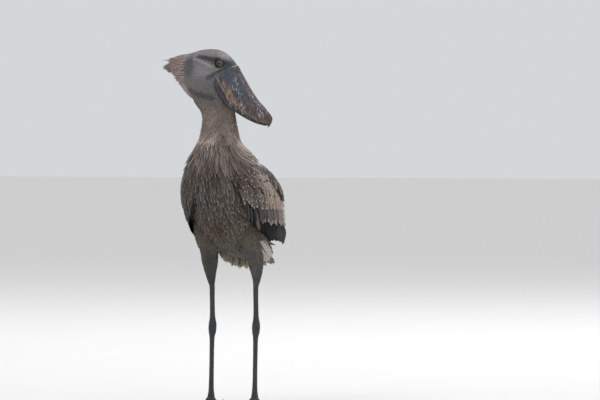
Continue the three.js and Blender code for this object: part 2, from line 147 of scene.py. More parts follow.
# Folded wing of the left side, front to back: upper edge, lower edge, outward bulge, depth inwards.
# The right wing is mirrored, and is the left one's like but for its front.
WING = [
    [60, -158, 738, 64, -189, 664, 10, 30],
    [98, -112, 744, 74, -158, 596, 34, 60],
    [106, -46, 738, 97, -97, 550, 40, 60],
    [100, 30, 712, 112, -32, 516, 44, 60],
    [66, 110, 656, 104, 50, 502, 46, 56],
    [36, 190, 598, 94, 140, 502, 44, 40],
    [24, 270, 552, 78, 235, 504, 26, 22],
    [20, 335, 522, 54, 325, 508, 10, 6],
]
RIGHT_FRONT = [
    [62, -158, 742, 70, -184, 660, 10, 30],
    [104, -112, 752, 110, -150, 592, 24, 60],
    [114, -45, 746, 122, -95, 548, 38, 60],
]
WING_ROWS_BY_SIDE = {1: WING, -1: RIGHT_FRONT + WING[len(RIGHT_FRONT):]}
WING_OVER = 170  # how far a whole share above the upper edge would reach over the back
WING_TUCK = 27  # how much closer the right wing's lower edge is held to the body

# Tail along its middle: y, z, half width, half thickness.
TAIL = [
    [176, 526, 26, 12],
    [218, 516, 30, 9],
    [262, 507, 33, 6],
    [306, 499, 35, 3.5],
    [345, 493, 36, 2],
]

# Feathered thigh and shank of the left leg: x, y, z, half width, half depth.
THIGH = [
    [62, -66, 560, 30, 46],
    [68, -46, 508, 28, 48],
    [72, -26, 474, 27, 42],
    [74, -14, 445, 25.5, 35],
    [75, -7, 417, 20, 27],
    [74.5, -3, 394, 15, 19],
    [72.5, -1, 374, 10.5, 13],
    [71.5, -1, THIGH_END, 8.6, 10],
]

# Loose plumage over the top of the thigh, in the same order.
FLANK = [
    [56, -74, 660, 30, 40],
    [64, -70, 620, 40, 50],
    [71, -64, 580, 41, 52],
    [75, -56, 540, 37, 50],
    [75, -44, 500, 30, 45],
    [74, -34, 474, 22, 36],
]

# Bare leg below it: y, z, half width, half depth.
LEG = [
    [-1, THIGH_END + 14, 6.5, 7.5],
    [-1, THIGH_END, 7.8, 8.8],
    [0, 320, 7.4, 8.4],
    [2, 275, 8, 9.8],
    [3, 252, 11.2, 13.6],
    [2, 238, 12.2, 14.6],
    [0, 222, 10.8, 12.2],
    [-3, 200, 7.4, 8.8],
    [-7, 120, 6.8, 8.2],
    [-11, 50, 7.8, 8.8],
    [-12, 26, 10.8, 11.8],
    [-13, 10, 11.8, 12.8],
]

# Toes: name, turn from straight ahead towards the inner side in degrees, length, half width at the root.
TOES = [
    ["middle", -5, 146, 9],
    ["inner", 22, 116, 8.2],
    ["outer", -34, 126, 8.4],
    ["hind", 164, 62, 7.8],
]
CLAW_LENGTH = 24
SIDES = (("left", 1), ("right", -1))


def srgb(red, green, blue):
    """A named colour from its 0 to 255 values, as linear light."""
    value = np.array([red, green, blue]) / 255
    return np.where(value <= 0.04045, value / 12.92, ((value + 0.055) / 1.055) ** 2.4)


def along(rows, t):
    """Smooth values between the rows of a table, for t from 0 to 1 along it."""
    rows = np.asarray(rows, float)
    last = len(rows) - 1
    at = np.clip(t, 0, 1) * last
    i = np.minimum(at.astype(int), last - 1)
    f = (at - i)[..., None]
    p0, p1, p2, p3 = (rows[np.clip(i + k, 0, last)] for k in (-1, 0, 1, 2))
    return 0.5 * (2 * p1 + (p2 - p0) * f + (2 * p0 - 5 * p1 + 4 * p2 - p3) * f**2 + (3 * (p1 - p2) + p3 - p0) * f**3)


def unit(vectors):
    return vectors / np.maximum(np.linalg.norm(vectors, axis=-1, keepdims=True), 1e-12)


def smooth(low, high, value):
    """0 below low, 1 above high and smooth between."""
    share = np.clip((value - low) / (high - low), 0, 1)
    return share * share * (3 - 2 * share)


def in_head(forward, left, up):
    return np.stack(np.broadcast_arrays(EYES[0] + forward, EYES[1] + left, EYES[2] + up), axis=-1)


def trunk(t, turn, grow=0.0):
    x, y, z, wide, front, back = np.moveaxis(along(TRUNK, t), -1, 0)
    ahead = along(TRUNK, t + 0.01) - along(TRUNK, t - 0.01)
    run = np.hypot(ahead[..., 1], ahead[..., 2])
    out = (np.where(np.cos(turn) > 0, front, back) + grow) * np.cos(turn)
    side = (wide + grow) * np.sin(turn)
    return np.stack([x + side, y - out * ahead[..., 2] / run, z + out * ahead[..., 1] / run], axis=-1)


def skull(t, turn, grow=0.0):
    forward, height, wide, above, below = np.moveaxis(along(SKULL, t), -1, 0)
    depth = np.where(np.cos(turn) > 0, above, below) + grow
    return in_head(forward, (wide + grow) * np.sin(turn), height + depth * np.cos(turn))


def thigh(side):
    def surface(t, turn, grow=0.0):
        x, y, z, wide, deep = np.moveaxis(along(THIGH, t), -1, 0)
        across = (wide + grow) * np.sin(turn)
        return np.stack([side * (x + across), y + (deep + grow) * np.cos(turn), z], axis=-1)
    return surface


def flank(side):
    """Plumage that hangs from the side of the belly over the top of the thigh."""
    def surface(t, turn, grow=0.0):
        x, y, z, wide, deep = np.moveaxis(along(FLANK, t), -1, 0)
        across = ((wide if side < 0 else 0.7 * wide) + grow) * np.sin(turn)
        return np.stack([side * (x + across), y + (deep + grow) * np.cos(turn), z], axis=-1)
    return surface


NOSTRIL = (0.155, 0.367)  # along the upper bill and turned off its ridge


def nostril_dip(t, turn):
    """1 in the middle of a nostril's slit, 0 away from it."""
    return np.exp(-(((t - NOSTRIL[0]) / 0.024) ** 4) - ((np.abs(turn) - NOSTRIL[1]) / 0.045) ** 2)


def bill_half(rows, fullness, ridge):
    def surface(t, turn, grow=0.0):
        rf, rh, ef, eh, wide = np.moveaxis(along(rows, t), -1, 0)
        arch = np.maximum(np.cos(turn), 0) ** fullness
        keel = 0.03 * np.exp(-((turn / 0.14) ** 2))
        groove = 0.02 * np.exp(-(((np.abs(turn) - 0.3) / 0.08) ** 2)) * (1 - smooth(0.8, 0.92, t))
        lip = 0.012 * np.exp(-(((np.abs(turn) - 1.38) / 0.05) ** 2)) * smooth(0.04, 0.1, t)
        rise = arch + keel - ridge * (groove + lip) - ridge * 0.05 * nostril_dip(t, turn)
        return in_head(ef + (rf - ef) * rise, (wide + grow) * np.sin(turn), eh + (rh - eh) * rise)
    return surface


def wing_face(side, row, share):
    """Outer face of a wing, as on the left side, at a row that need not be whole and a share down it."""
    values = along(WING_ROWS_BY_SIDE[side], row / (len(WING) - 1))
    point = values[..., :3] + (values[..., 3:6] - values[..., :3]) * np.maximum(share, 0)[..., None]
    point[..., 0] += values[..., 6] * np.sin(0.85 * math.pi * np.maximum(share, 0) ** 0.8)
    over = WING_OVER * np.maximum(-share, 0)
    point[..., 0] -= 0.95 * over
    point[..., 2] += 0.1 * over
    return point


def wing_facing(side, row, share):
    row = np.clip(row, 0.06, len(WING) - 1.06)
    back = wing_face(side, row + 0.05, share) - wing_face(side, row - 0.05, share)
    down = wing_face(side, row, share + 0.02) - wing_face(side, row, share - 0.02)
    return unit(np.cross(down, back))


def on_side(side, points, share):
    """Points of a wing's face on its own side, the right wing's lower edge held closer."""
    tuck = WING_TUCK * share if side < 0 else 0 * share
    return np.stack([side * (points[..., 0] - tuck), points[..., 1], points[..., 2]], axis=-1)


def wing_core(side):
    def surface(t, turn, grow=0.0):
        share = 0.86 * (0.5 - 0.5 * np.cos(turn))
        row = t * 0.93 * (len(WING) - 1)
        point = wing_face(side, row, share)
        bulge, depth = np.moveaxis(along(WING_ROWS_BY_SIDE[side], t * 0.93)[..., 6:], -1, 0)
        point[..., 0] -= 6 - grow + np.maximum(-np.sin(turn), 0) * (bulge + depth)
        return on_side(side, point, share)
    return surface


def leg_form(side):
    def surface(t, turn, grow=0.0):
        y, z, wide, deep = np.moveaxis(along(LEG, t), -1, 0)
        across = side * (LEG_X + (wide + grow) * np.sin(turn))
        return np.stack([across, y + (deep + grow) * np.cos(turn), z], axis=-1)
    return surface


def toe_form(side, digit):
    """A toe along the floor, its pads swelling at each joint and its scutes stepped along the top."""
    heading = math.radians(digit[1])
    length, half_width = digit[2:]
    ahead = (-side * math.sin(heading), -math.cos(heading))
    joints = round(length / 36)

    def surface(t, turn, grow=0.0):
        pads = 1 + 0.09 * np.cos(t * joints * 2 * math.pi)
        closing = np.sqrt(np.clip((1.02 - t) / 0.06, 0, 1))
        scutes = 0.35 * np.abs(np.sin(t * length / 5.2 * math.pi)) ** 0.5 * np.clip(np.cos(turn), 0, 1) ** 0.5
        wide = half_width * (1 - 0.42 * t) * pads * closing
        high = half_width * (0.95 - 0.42 * t) * pads * closing + scutes - 0.35
        far = t * (length + 6)
        sideways = wide * np.sin(turn)
        level = half_width * (0.95 - 0.42 * t) * pads * 0.72 + high * np.cos(turn)
        x = side * LEG_X + ahead[0] * far - ahead[1] * sideways
        y = FOOT_Y + ahead[1] * far + ahead[0] * sideways
        return np.stack(np.broadcast_arrays(x, y, np.maximum(level, 0.0)), axis=-1)
    return surface


def claw_form(side, digit):
    heading = math.radians(digit[1])
    length, half_width = digit[2:]
    ahead = (-side * math.sin(heading), -math.cos(heading))

    def surface(t, turn, grow=0.0):
        radius = half_width * 0.46 * np.clip(1 - t, 0, 1) ** 0.8 + 0.3
        radius = radius * smooth(-0.02, 0.02, t)
        far = length - 1 + t * (CLAW_LENGTH + 3)
        high = half_width * 0.5 + 4 * np.sin(math.pi * np.clip(t, 0, 1) ** 0.8) - (half_width * 0.5 - 0.6) * t * t
        sideways = radius * np.sin(turn)
        x = side * LEG_X + ahead[0] * far - ahead[1] * sideways
        y = FOOT_Y + ahead[1] * far + ahead[0] * sideways
        return np.stack([x, y, np.maximum(high + radius * np.cos(turn) * 1.15, 0.05)], axis=-1)
    return surface


def tail_form(t, turn, grow=0.0):
    y, z, wide, thick = np.moveaxis(along(TAIL, t * 0.42), -1, 0)
    return np.stack([(wide + grow) * np.sin(turn), y, z + (thick + grow) * np.cos(turn)], axis=-1)


def sizes():
    return bpy.context.scene.shoebill_sizes


def colours():
    return bpy.context.scene.shoebill_colours


def deselect():
    if bpy.context.object and bpy.context.object.mode != "OBJECT":
        bpy.ops.object.mode_set(mode="OBJECT")
    bpy.ops.object.select_all(action="DESELECT")


def coat_depth(t):
    """Depth of the coat along the trunk, thin at the tail and on the neck."""
    return sizes().body_depth * np.interp(t, [0.0, 0.1, 0.62, 0.8, 1.0], [0.5, 1, 1, 0.45, 0.35])


def trunk_skin(t, turn, grow=0.0):
    return trunk(t, turn, grow - coat_depth(t))


def closed_form(name, surface, sides, rings, grow=0.0):
    """A grid rolled into a closed form by surface(t, turn), its seam and both ends merged."""
    deselect()
    bpy.ops.mesh.primitive_grid_add(x_subdivisions=sides, y_subdivisions=rings, size=1)
    piece = bpy.context.object
    piece.name = piece.data.name = name
    flat = np.empty(len(piece.data.vertices) * 3)
    piece.data.vertices.foreach_get("co", flat)
    u, v = flat.reshape(-1, 3)[:, 0] + 0.5, flat.reshape(-1, 3)[:, 1] + 0.5
    turn = (np.round(u * sides) % sides) / sides * 2 * math.pi
    turn = np.where(turn > math.pi, turn - 2 * math.pi, turn)
    points = surface(v, turn, grow)
    for end in (0.0, 1.0):
        ring = np.abs(v - end) < 1e-4
        points[ring] = points[ring].mean(axis=0)
    piece.data.vertices.foreach_set("co", place(points).ravel())
    bpy.ops.object.mode_set(mode="EDIT")
    bpy.ops.mesh.select_all(action="SELECT")
    bpy.ops.mesh.remove_doubles(threshold=2e-6)
    bpy.ops.mesh.normals_make_consistent(inside=False)
    bpy.ops.object.mode_set(mode="OBJECT")
    bpy.ops.object.shade_smooth()
    return piece


def joined(name, parts):
    deselect()
    for part in parts:
        part.select_set(True)
    bpy.context.view_layer.objects.active = parts[0]
    bpy.ops.object.join()
    parts[0].name = parts[0].data.name = name
    return parts[0]


def modify(piece, kind, **settings):
    """Adds a modifier to a piece and applies it."""
    deselect()
    piece.select_set(True)
    bpy.context.view_layer.objects.active = piece
    modifier = piece.modifiers.new(kind.lower(), kind)
    for key, value in settings.items():
        setattr(modifier, key, value)
    bpy.ops.object.modifier_apply(modifier=modifier.name)


def points_of(piece):
    flat = np.empty(len(piece.data.vertices) * 3)
    piece.data.vertices.foreach_get("co", flat)
    return flat.reshape(-1, 3)


def paint(piece, name, values):
    """Stores one colour a vertex as an attribute."""
    layer = piece.data.attributes.new(name, "FLOAT_COLOR", "POINT")
    rgba = np.concatenate([values, np.ones((len(values), 1))], axis=1)
    layer.data.foreach_set("color", rgba.ravel())


def finish_piece(piece, slot, material, *nodes):
    piece.data.materials.clear()
    piece.data.materials.append(material)
    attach(piece, "root")
    if nodes:
        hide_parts(*nodes)


# Plumage colours by place

def blend(base, colour, share):
    return base + (np.asarray(colour)[None, :3] - base) * np.clip(share, 0, 1)[:, None]


def spot(f, h, at_f, at_h, radius_f, radius_h, soft=0.45):
    """A soft ellipse on the side of the head, 1 inside."""
    far = np.hypot((f - at_f) / radius_f, (h - at_h) / radius_h)
    return 1 - smooth(1 - soft, 1 + soft, far)


def near_line(f, h, line, wide):
    """1 close to a line of points on the side of the head, falling off over its width."""
    nearest = np.full(f.shape, 1e9)
    for (f0, h0), (f1, h1) in zip(line, line[1:]):
        length = (f1 - f0) ** 2 + (h1 - h0) ** 2
        t = np.clip(((f - f0) * (f1 - f0) + (h - h0) * (h1 - h0)) / length, 0, 1)
        nearest = np.minimum(nearest, np.hypot(f - f0 - t * (f1 - f0), h - h0 - t * (h1 - h0)))
    return 1 - smooth(0.35 * wide, wide, nearest)


# Painted shade under the brow ridge: a dark band from the eye backwards.
BROW_SHADE = [(-56, 21), (-38, 18), (-20, 13), (-4, 12)]
# Painted highlight along the lit upper edge of the cheek, under the brow shade.
CHEEK_EDGE_HIGHLIGHT = [(-72, 17), (-62, 14), (-40, 4), (-22, -7), (0, -16)]
LORE = [(6, 1), (18, 1), (30, -4)]
# Painted shadow along the join of the face and the bill's base.
BILL_BASE_SHADE = [(33, -8), (14, -20), (-8, -32), (-26, -42)]
# Line of painted shade along the edge where the nape's plumage meets the cheek.
BEHIND_CHEEK_SHADE_LINE = [(-62, 20), (-88, 12), (-104, -8), (-107, -34), (-99, -60), (-84, -82)]
# Line of painted shade in the crease under the jaw.
JAW_CREASE_SHADE = [(-84, -82), (-66, -96), (-44, -102), (-24, -108)]
NECK_SHADE = 930  # below this height the head's colours give way to the neck's


def head_colour(points):
    tones = colours()
    f, l, h = (points - np.array(EYES)).T
    base = blend(np.tile(np.array(tones.cheek), (len(f), 1)), tones.crown, smooth(8, 34, h))
    base = blend(base, tones.cheek_low, 1 - smooth(-88, -30, h))
    base = blend(base, tones.forehead, smooth(-16, 22, f) * smooth(6, 26, h))
    base = blend(base, tones.nape, 1 - smooth(-112, -98, f + 0.12 * h))
    # Painted highlight: the upper cheek made lighter where the light falls on it.
    base = blend(base, tones.upper_cheek_highlight, 0.75 * spot(f, h, -46, -22, 34, 18, 0.7))
    # Painted shade on the rear of the cheek.
    base = blend(base, tones.rear_cheek_shade, 0.8 * spot(f, h, -88, -10, 17, 34, 0.6))
    # Painted shade behind the cheek.
    base = blend(base, tones.behind_cheek_shade, 0.45 * near_line(f, h, BEHIND_CHEEK_SHADE_LINE, 9))
    # Painted shade in the crease under the jaw.
    base = blend(base, tones.crease_shade, 0.62 * near_line(f, h, JAW_CREASE_SHADE, 14))
    # Painted shade under the brow ridge.
    base = blend(base, tones.lore_and_shade, 0.95 * near_line(f, h, BROW_SHADE, 11.5))
    # Painted highlight on the cheek's upper edge.
    base = blend(base, tones.cheek_edge_highlight, 0.9 * near_line(f, h, CHEEK_EDGE_HIGHLIGHT, 6))
    base = blend(base, tones.lore_and_shade, 0.9 * near_line(f, h, LORE, 12))
    # Painted shadow at the bill's base.
    base = blend(base, tones.lore_and_shade, 0.8 * near_line(f, h, BILL_BASE_SHADE, 9))
    return blend(base, tones.eye_ring, spot(f, h, 0, 0, 16.5, 15.5, 0.12))


def clouds(points, size):
    """Slow changes over the body, from about -1 to 1, over this many millimetres."""
    rng = np.random.default_rng(5)
    waves = unit(rng.normal(0, 1, (14, 3))) * rng.uniform(0.7, 1.6, (14, 1)) / size
    return 0.4 * np.sin(points @ waves.T * 2 * math.pi + rng.uniform(0, 6.3, 14)).sum(axis=1)


def body_colour(points):
    tones = colours()
    x, y, z = points.T
    heights = [370, 450, 520, 620, 700, 780, 850, 950]
    names = ["shank", "thigh", "belly", "flank", "breast", "breast_high", "neck_low", "neck"]
    ramp = np.array([tuple(getattr(tones, name)) for name in names])
    base = np.stack([np.interp(z, heights, ramp[:, c]) for c in range(3)], axis=1)
    patchy = 0.1 + 0.16 * smooth(560, 640, z) * (1 - smooth(800, 860, z))
    base = base * np.exp(patchy * clouds(points, 52))[:, None]
    base = base * np.exp(0.6 * patchy * clouds(points[:, ::-1], 24))[:, None]
    stain = np.exp(-(((x + 14) / 46) ** 2 + ((z - 546) / 40) ** 2)) * (y < 80)
    base = blend(base, tones.stain, 1.4 * stain * (0.85 + 0.12 * clouds(points, 20)))
    base = blend(base, tones.back, smooth(-60, 20, y) * smooth(560, 620, z))
    # Painted shade: on the right side (x below -30) and below about 500 mm, the plumage is 30% darker, as on a shaded
    # side.
    base = base * (1 - 0.3 * smooth(30, 60, -x) * (1 - smooth(440, 520, z)))[:, None]
    return blend(base, tones.undertail, smooth(84, 120, y) * (1 - smooth(470, 540, z)))


def plumage(points):
    """The plumage's colour at each point, in millimetres from between the feet."""
    f, l, h = (points - np.array(EYES)).T
    on_head = smooth(NECK_SHADE - 40, NECK_SHADE + 30, points[:, 2] - 0.35 * np.maximum(-60 - f, 0))
    return body_colour(points) * (1 - on_head[:, None]) + head_colour(points) * on_head[:, None]


# Feathers

LANCE = ([0, 0.2, 0.45, 0.7, 0.88, 1], [0.3, 0.8, 1, 0.78, 0.42, 0.06])
PLUSH = ([0, 0.4, 0.75, 1], [0.5, 1, 0.75, 0.1])
COVERT = ([0, 0.25, 0.5, 0.75, 0.9, 0.975, 1], [0.4, 0.85, 1, 0.98, 0.78, 0.42, 0.12])
POINTED = ([0, 0.25, 0.5, 0.72, 0.88, 1], [0.4, 0.85, 1, 0.92, 0.6, 0.08])
FLUFF = ([0, 0.2, 0.4, 0.6, 0.8, 1], [0.3, 0.8, 1, 0.9, 0.55, 0.05])
FLIGHT_AT = np.array([0, 0.12, 0.25, 0.4, 0.55, 0.7, 0.8, 0.88, 0.94, 0.98, 1])
FLIGHT = (FLIGHT_AT, np.maximum(np.minimum(1, 0.45 + 1.3 * FLIGHT_AT) * np.sqrt(1 - FLIGHT_AT**7), 0.1))
PATCH = 0.003  # across one feather's patch on the map that takes its colours


class Feathers:
    """Feathers gathered for one mesh: each a closed leaf of four-sided rings from root to tip."""

    def __init__(self, name):
        self.name = name
        self.blocks = []

    def add(self, shafts, facing, width, thick, shape, roots, tint, cup=0.0):
        """shafts and facing are points and directions by feather and station, width and tint by feather."""
        stations, outline = np.asarray(shape[0]), np.asarray(shape[1])
        ahead = unit(np.gradient(shafts, axis=1))
        beside = unit(np.cross(ahead, facing))
        out = np.cross(beside, ahead)
        half = 0.5 * np.asarray(width)[:, None, None] * outline[None, :, None]
        body = 0.5 * thick * (1 - 0.55 * stations)[None, :, None]
        left = shafts - beside * half - out * cup * half
        right = shafts + beside * half - out * cup * half
        rings = np.stack([left, shafts + out * body, right, shafts - out * body], axis=2)
        self.blocks.append((rings, stations, np.asarray(roots), np.asarray(tint)))

    def build(self, slot, material, *nodes):
        points, faces, vane, bake, tints = [], [], [], [], []
        start = 0
        for rings, stations, roots, tint in self.blocks:
            count, length = rings.shape[:2]
            corner = start + np.arange(count * length * 4).reshape(count, length, 4)
            near, far = corner[:, :-1], corner[:, 1:]
            sides = np.stack([near, np.roll(near, -1, 2), np.roll(far, -1, 2), far], axis=-1)
            faces += [sides.reshape(-1, 4), corner[:, 0, ::-1], corner[:, -1, :]]
            across = np.broadcast_to(np.array([0, 0.5, 1, 0.5]), (count, length, 4))
            down = np.broadcast_to(stations[None, :, None], (count, length, 4))
            own = np.stack([across, down], axis=-1).reshape(-1, 2)
            vane.append(own)
            bake.append(np.repeat(roots, length * 4, axis=0) + (own - 0.5) * PATCH)
            tints.append(np.repeat(tint, length * 4, axis=0))
            points.append(rings.reshape(-1, 3))
            start += count * length * 4
        points, faces = place(np.concatenate(points)), np.concatenate(faces)
        mesh = bpy.data.meshes.new(self.name)
        mesh.vertices.add(len(points))
        mesh.vertices.foreach_set("co", points.ravel())
        mesh.loops.add(faces.size)
        mesh.loops.foreach_set("vertex_index", faces.ravel().astype(np.int32))
        mesh.polygons.add(len(faces))
        mesh.polygons.foreach_set("loop_start", np.arange(0, faces.size, 4, dtype=np.int32))
        mesh.polygons.foreach_set("use_smooth", np.ones(len(faces), bool))
        for label, values in (("OFBake", bake), ("Vane", vane)):
            layer = mesh.uv_layers.new(name=label)
            layer.uv.foreach_set("vector", np.concatenate(values)[faces.ravel()].ravel().astype(np.float32))
        mesh.update(calc_edges=True)
        piece = bpy.data.objects.new(self.name, mesh)
        bpy.context.collection.objects.link(piece)
        paint(piece, "tint", np.clip(np.concatenate(tints), 0.002, 1))
        finish_piece(piece, slot, material, *nodes)
        return piece


def rows_on(surface, t_range, step, pitch, rng, jitter=0.3):
    """Roots in staggered rows round a form: rows a step apart along it and feathers a pitch apart."""
    fine = np.linspace(*t_range, 400)
    middle = (surface(fine, fine * 0) + surface(fine, fine * 0 + math.pi)) / 2
    length = np.concatenate([[0], np.cumsum(np.linalg.norm(np.diff(middle, axis=0), axis=1))])
    roots = []
    for j, at in enumerate(np.arange(0, length[-1], step)):
        t = np.interp(at, length, fine)
        turns = np.linspace(-math.pi, math.pi, 97)
        ring = surface(np.full(97, t), turns)
        round_it = np.concatenate([[0], np.cumsum(np.linalg.norm(np.diff(ring, axis=0), axis=1))])
        count = max(int(round_it[-1] / pitch), 3)
        place_in = (np.arange(count) + 0.5 * (j % 2) + jitter * rng.uniform(-1, 1, count)) % count
        turn = np.interp(place_in / count * round_it[-1], round_it, turns)
        roots.append(np.stack([t + rng.uniform(-1, 1, count) * jitter * step / length[-1] * np.ptp(t_range), turn], 1))
    return np.concatenate(roots).T


def speed_of(surface, t, turn):
    return np.linalg.norm(surface(t + 0.004, turn) - surface(t - 0.004, turn), axis=-1) / 0.008


def normal_of(surface, t, turn, grow=0.0):
    round_it = surface(t, turn + 0.02, grow) - surface(t, turn - 0.02, grow)
    on = surface(t + 0.004, turn, grow) - surface(t - 0.004, turn, grow)
    normal = unit(np.cross(round_it, on))
    outwards = surface(t, turn, grow + 1.0) - surface(t, turn, grow - 1.0)
    return normal * np.sign(np.sum(normal * outwards, axis=-1, keepdims=True) + 1e-12)


def lay(feathers, surface, t, turn, lean, shape, length, width, thick, depth, lift, rng,
        sway=0.0, cup=0.12, tint=None, twist=0.15, spread=0.1, mottle=0.11):
    """Feathers that lie along a form. lean is 1 or -1, the way of t that they point."""
    stations = np.asarray(shape[0])[None, :]
    count = len(t)
    length = np.broadcast_to(length, (count,)) * rng.uniform(1 - spread, 1 + spread, count)
    width = np.broadcast_to(width, (count,)) * rng.uniform(1 - spread, 1 + spread, count)
    reach = (length / speed_of(surface, t, turn))[:, None]
    ring = np.linalg.norm(surface(t, turn + 0.05) - surface(t, turn - 0.05), axis=-1) / 0.1
    drift = (length * rng.normal(0, 0.1, count) / np.maximum(ring, 12))[:, None] * stations
    bend = (np.broadcast_to(sway, (count,)) * length / np.maximum(ring, 12))[:, None] * stations
    ts = t[:, None] + lean * reach * stations
    turns = turn[:, None] + drift + bend
    rise = np.broadcast_to(lift, (count,)) * rng.uniform(0.6, 1.3, count)
    grow = -np.broadcast_to(depth, (count,))[:, None] - 1.0 + (1.0 + rise[:, None]) * stations**0.9
    past = ts - np.clip(ts, 0.012, 0.988)
    ts = ts - past
    onwards = unit(surface(ts + 0.004, turns, grow) - surface(ts - 0.004, turns, grow))
    shafts = surface(ts, turns, grow) + onwards * (past * speed_of(surface, t, turn)[:, None])[..., None]
    facing = normal_of(surface, ts, turns)
    ahead = unit(np.gradient(shafts, axis=1))
    tilt = rng.normal(0, twist, count)[:, None, None]
    facing = unit(facing + np.cross(ahead, facing) * tilt)
    if tint is None:
        tint = plumage(shafts[:, len(shape[0]) // 2])
    tint = vary(tint, rng, mottle, mottle * 0.3)
    roots = np.stack([turn / (2 * math.pi) + 0.5, np.clip(t, 0, 1)], axis=1) * 0.98 + 0.01
    feathers.add(shafts, facing, width, thick, shape, roots, tint, cup)


def vary(tint, rng, value=0.11, warmth=0.035):
    """Small differences from feather to feather, in lightness and between brown and grey."""
    light = np.exp(rng.normal(0, value, len(tint)))[:, None]
    warm = rng.normal(0, warmth, len(tint))[:, None] * np.array([1.0, 0.1, -1.0])
    return tint * light * (1 + warm)


def shows(skin, points, reach):
    """Which points, in millimetres, lie close to the finished skin and so aren't buried in it."""
    return np.array([skin.find_nearest(Vector(p))[3] < reach * MM for p in place(points)])


# Materials

class Graph:
    """Short ways to add and link shader nodes."""

    def __init__(self, tree):
        self.tree = tree

    def node(self, kind, **settings):
        made = self.tree.nodes.new(kind)
        for key, value in settings.items():
            setattr(made, key, value)
        return made

    def feed(self, socket, value):
        if isinstance(value, bpy.types.NodeSocket):
            self.tree.links.new(value, socket)
        elif hasattr(socket.default_value, "__len__") and not np.isscalar(value):
            width = len(socket.default_value)
            socket.default_value = (tuple(value) + (1.0,))[:width]
        else:
            socket.default_value = value

    def math(self, operation, *values, clamp=False):
        made = self.node("ShaderNodeMath", operation=operation, use_clamp=clamp)
        for socket, value in zip(made.inputs, values):
            self.feed(socket, value)
        return made.outputs[0]

    def mix(self, share, first, second, kind="MIX"):
        made = self.node("ShaderNodeMix", data_type="RGBA", blend_type=kind)
        self.feed(made.inputs[0], share)
        self.feed(made.inputs[6], first)
        self.feed(made.inputs[7], second)
        return made.outputs[2]

    def span(self, value, low, high):
        made = self.node("ShaderNodeMapRange", interpolation_type="SMOOTHSTEP")
        self.feed(made.inputs[0], value)
        self.feed(made.inputs[1], low)
        self.feed(made.inputs[2], high)
        return made.outputs[0]

    def noise(self, vector, scale, detail=3.0, rough=0.5, distortion=0.0):
        made = self.node("ShaderNodeTexNoise")
        self.feed(made.inputs["Vector"], vector)
        made.inputs["Scale"].default_value = scale
        made.inputs["Detail"].default_value = detail
        made.inputs["Roughness"].default_value = rough
        made.inputs["Distortion"].default_value = distortion
        return made.outputs["Fac"]

    def cells(self, vector, scale, feature="DISTANCE_TO_EDGE"):
        made = self.node("ShaderNodeTexVoronoi", feature=feature)
        self.feed(made.inputs["Vector"], vector)
        made.inputs["Scale"].default_value = scale
        return made.outputs["Distance"]

    def stretched(self, turn, scale):
        """Object coordinates turned and stretched."""
        made = self.node("ShaderNodeMapping")
        self.feed(made.inputs["Vector"], self.node("ShaderNodeTexCoord").outputs["Object"])
        made.inputs["Rotation"].default_value = turn
        made.inputs["Scale"].default_value = scale
        return made.outputs["Vector"]

    def bump(self, height, distance, strength=1.0):
        made = self.node("ShaderNodeBump")
        made.inputs["Strength"].default_value = strength
        made.inputs["Distance"].default_value = distance
        self.feed(made.inputs["Height"], height)
        return made.outputs["Normal"]


def new_group(name, inputs, outputs):
    tree = bpy.data.node_groups.new(name, "ShaderNodeTree")
    for label, kind, value in inputs:
        socket = tree.interface.new_socket(label, in_out="INPUT", socket_type=kind)
        if value is not None:
            socket.default_value = value
    for label, kind in outputs:
        tree.interface.new_socket(label, in_out="OUTPUT", socket_type=kind)
    graph = Graph(tree)
    return graph, graph.node("NodeGroupInput").outputs, graph.node("NodeGroupOutput").inputs


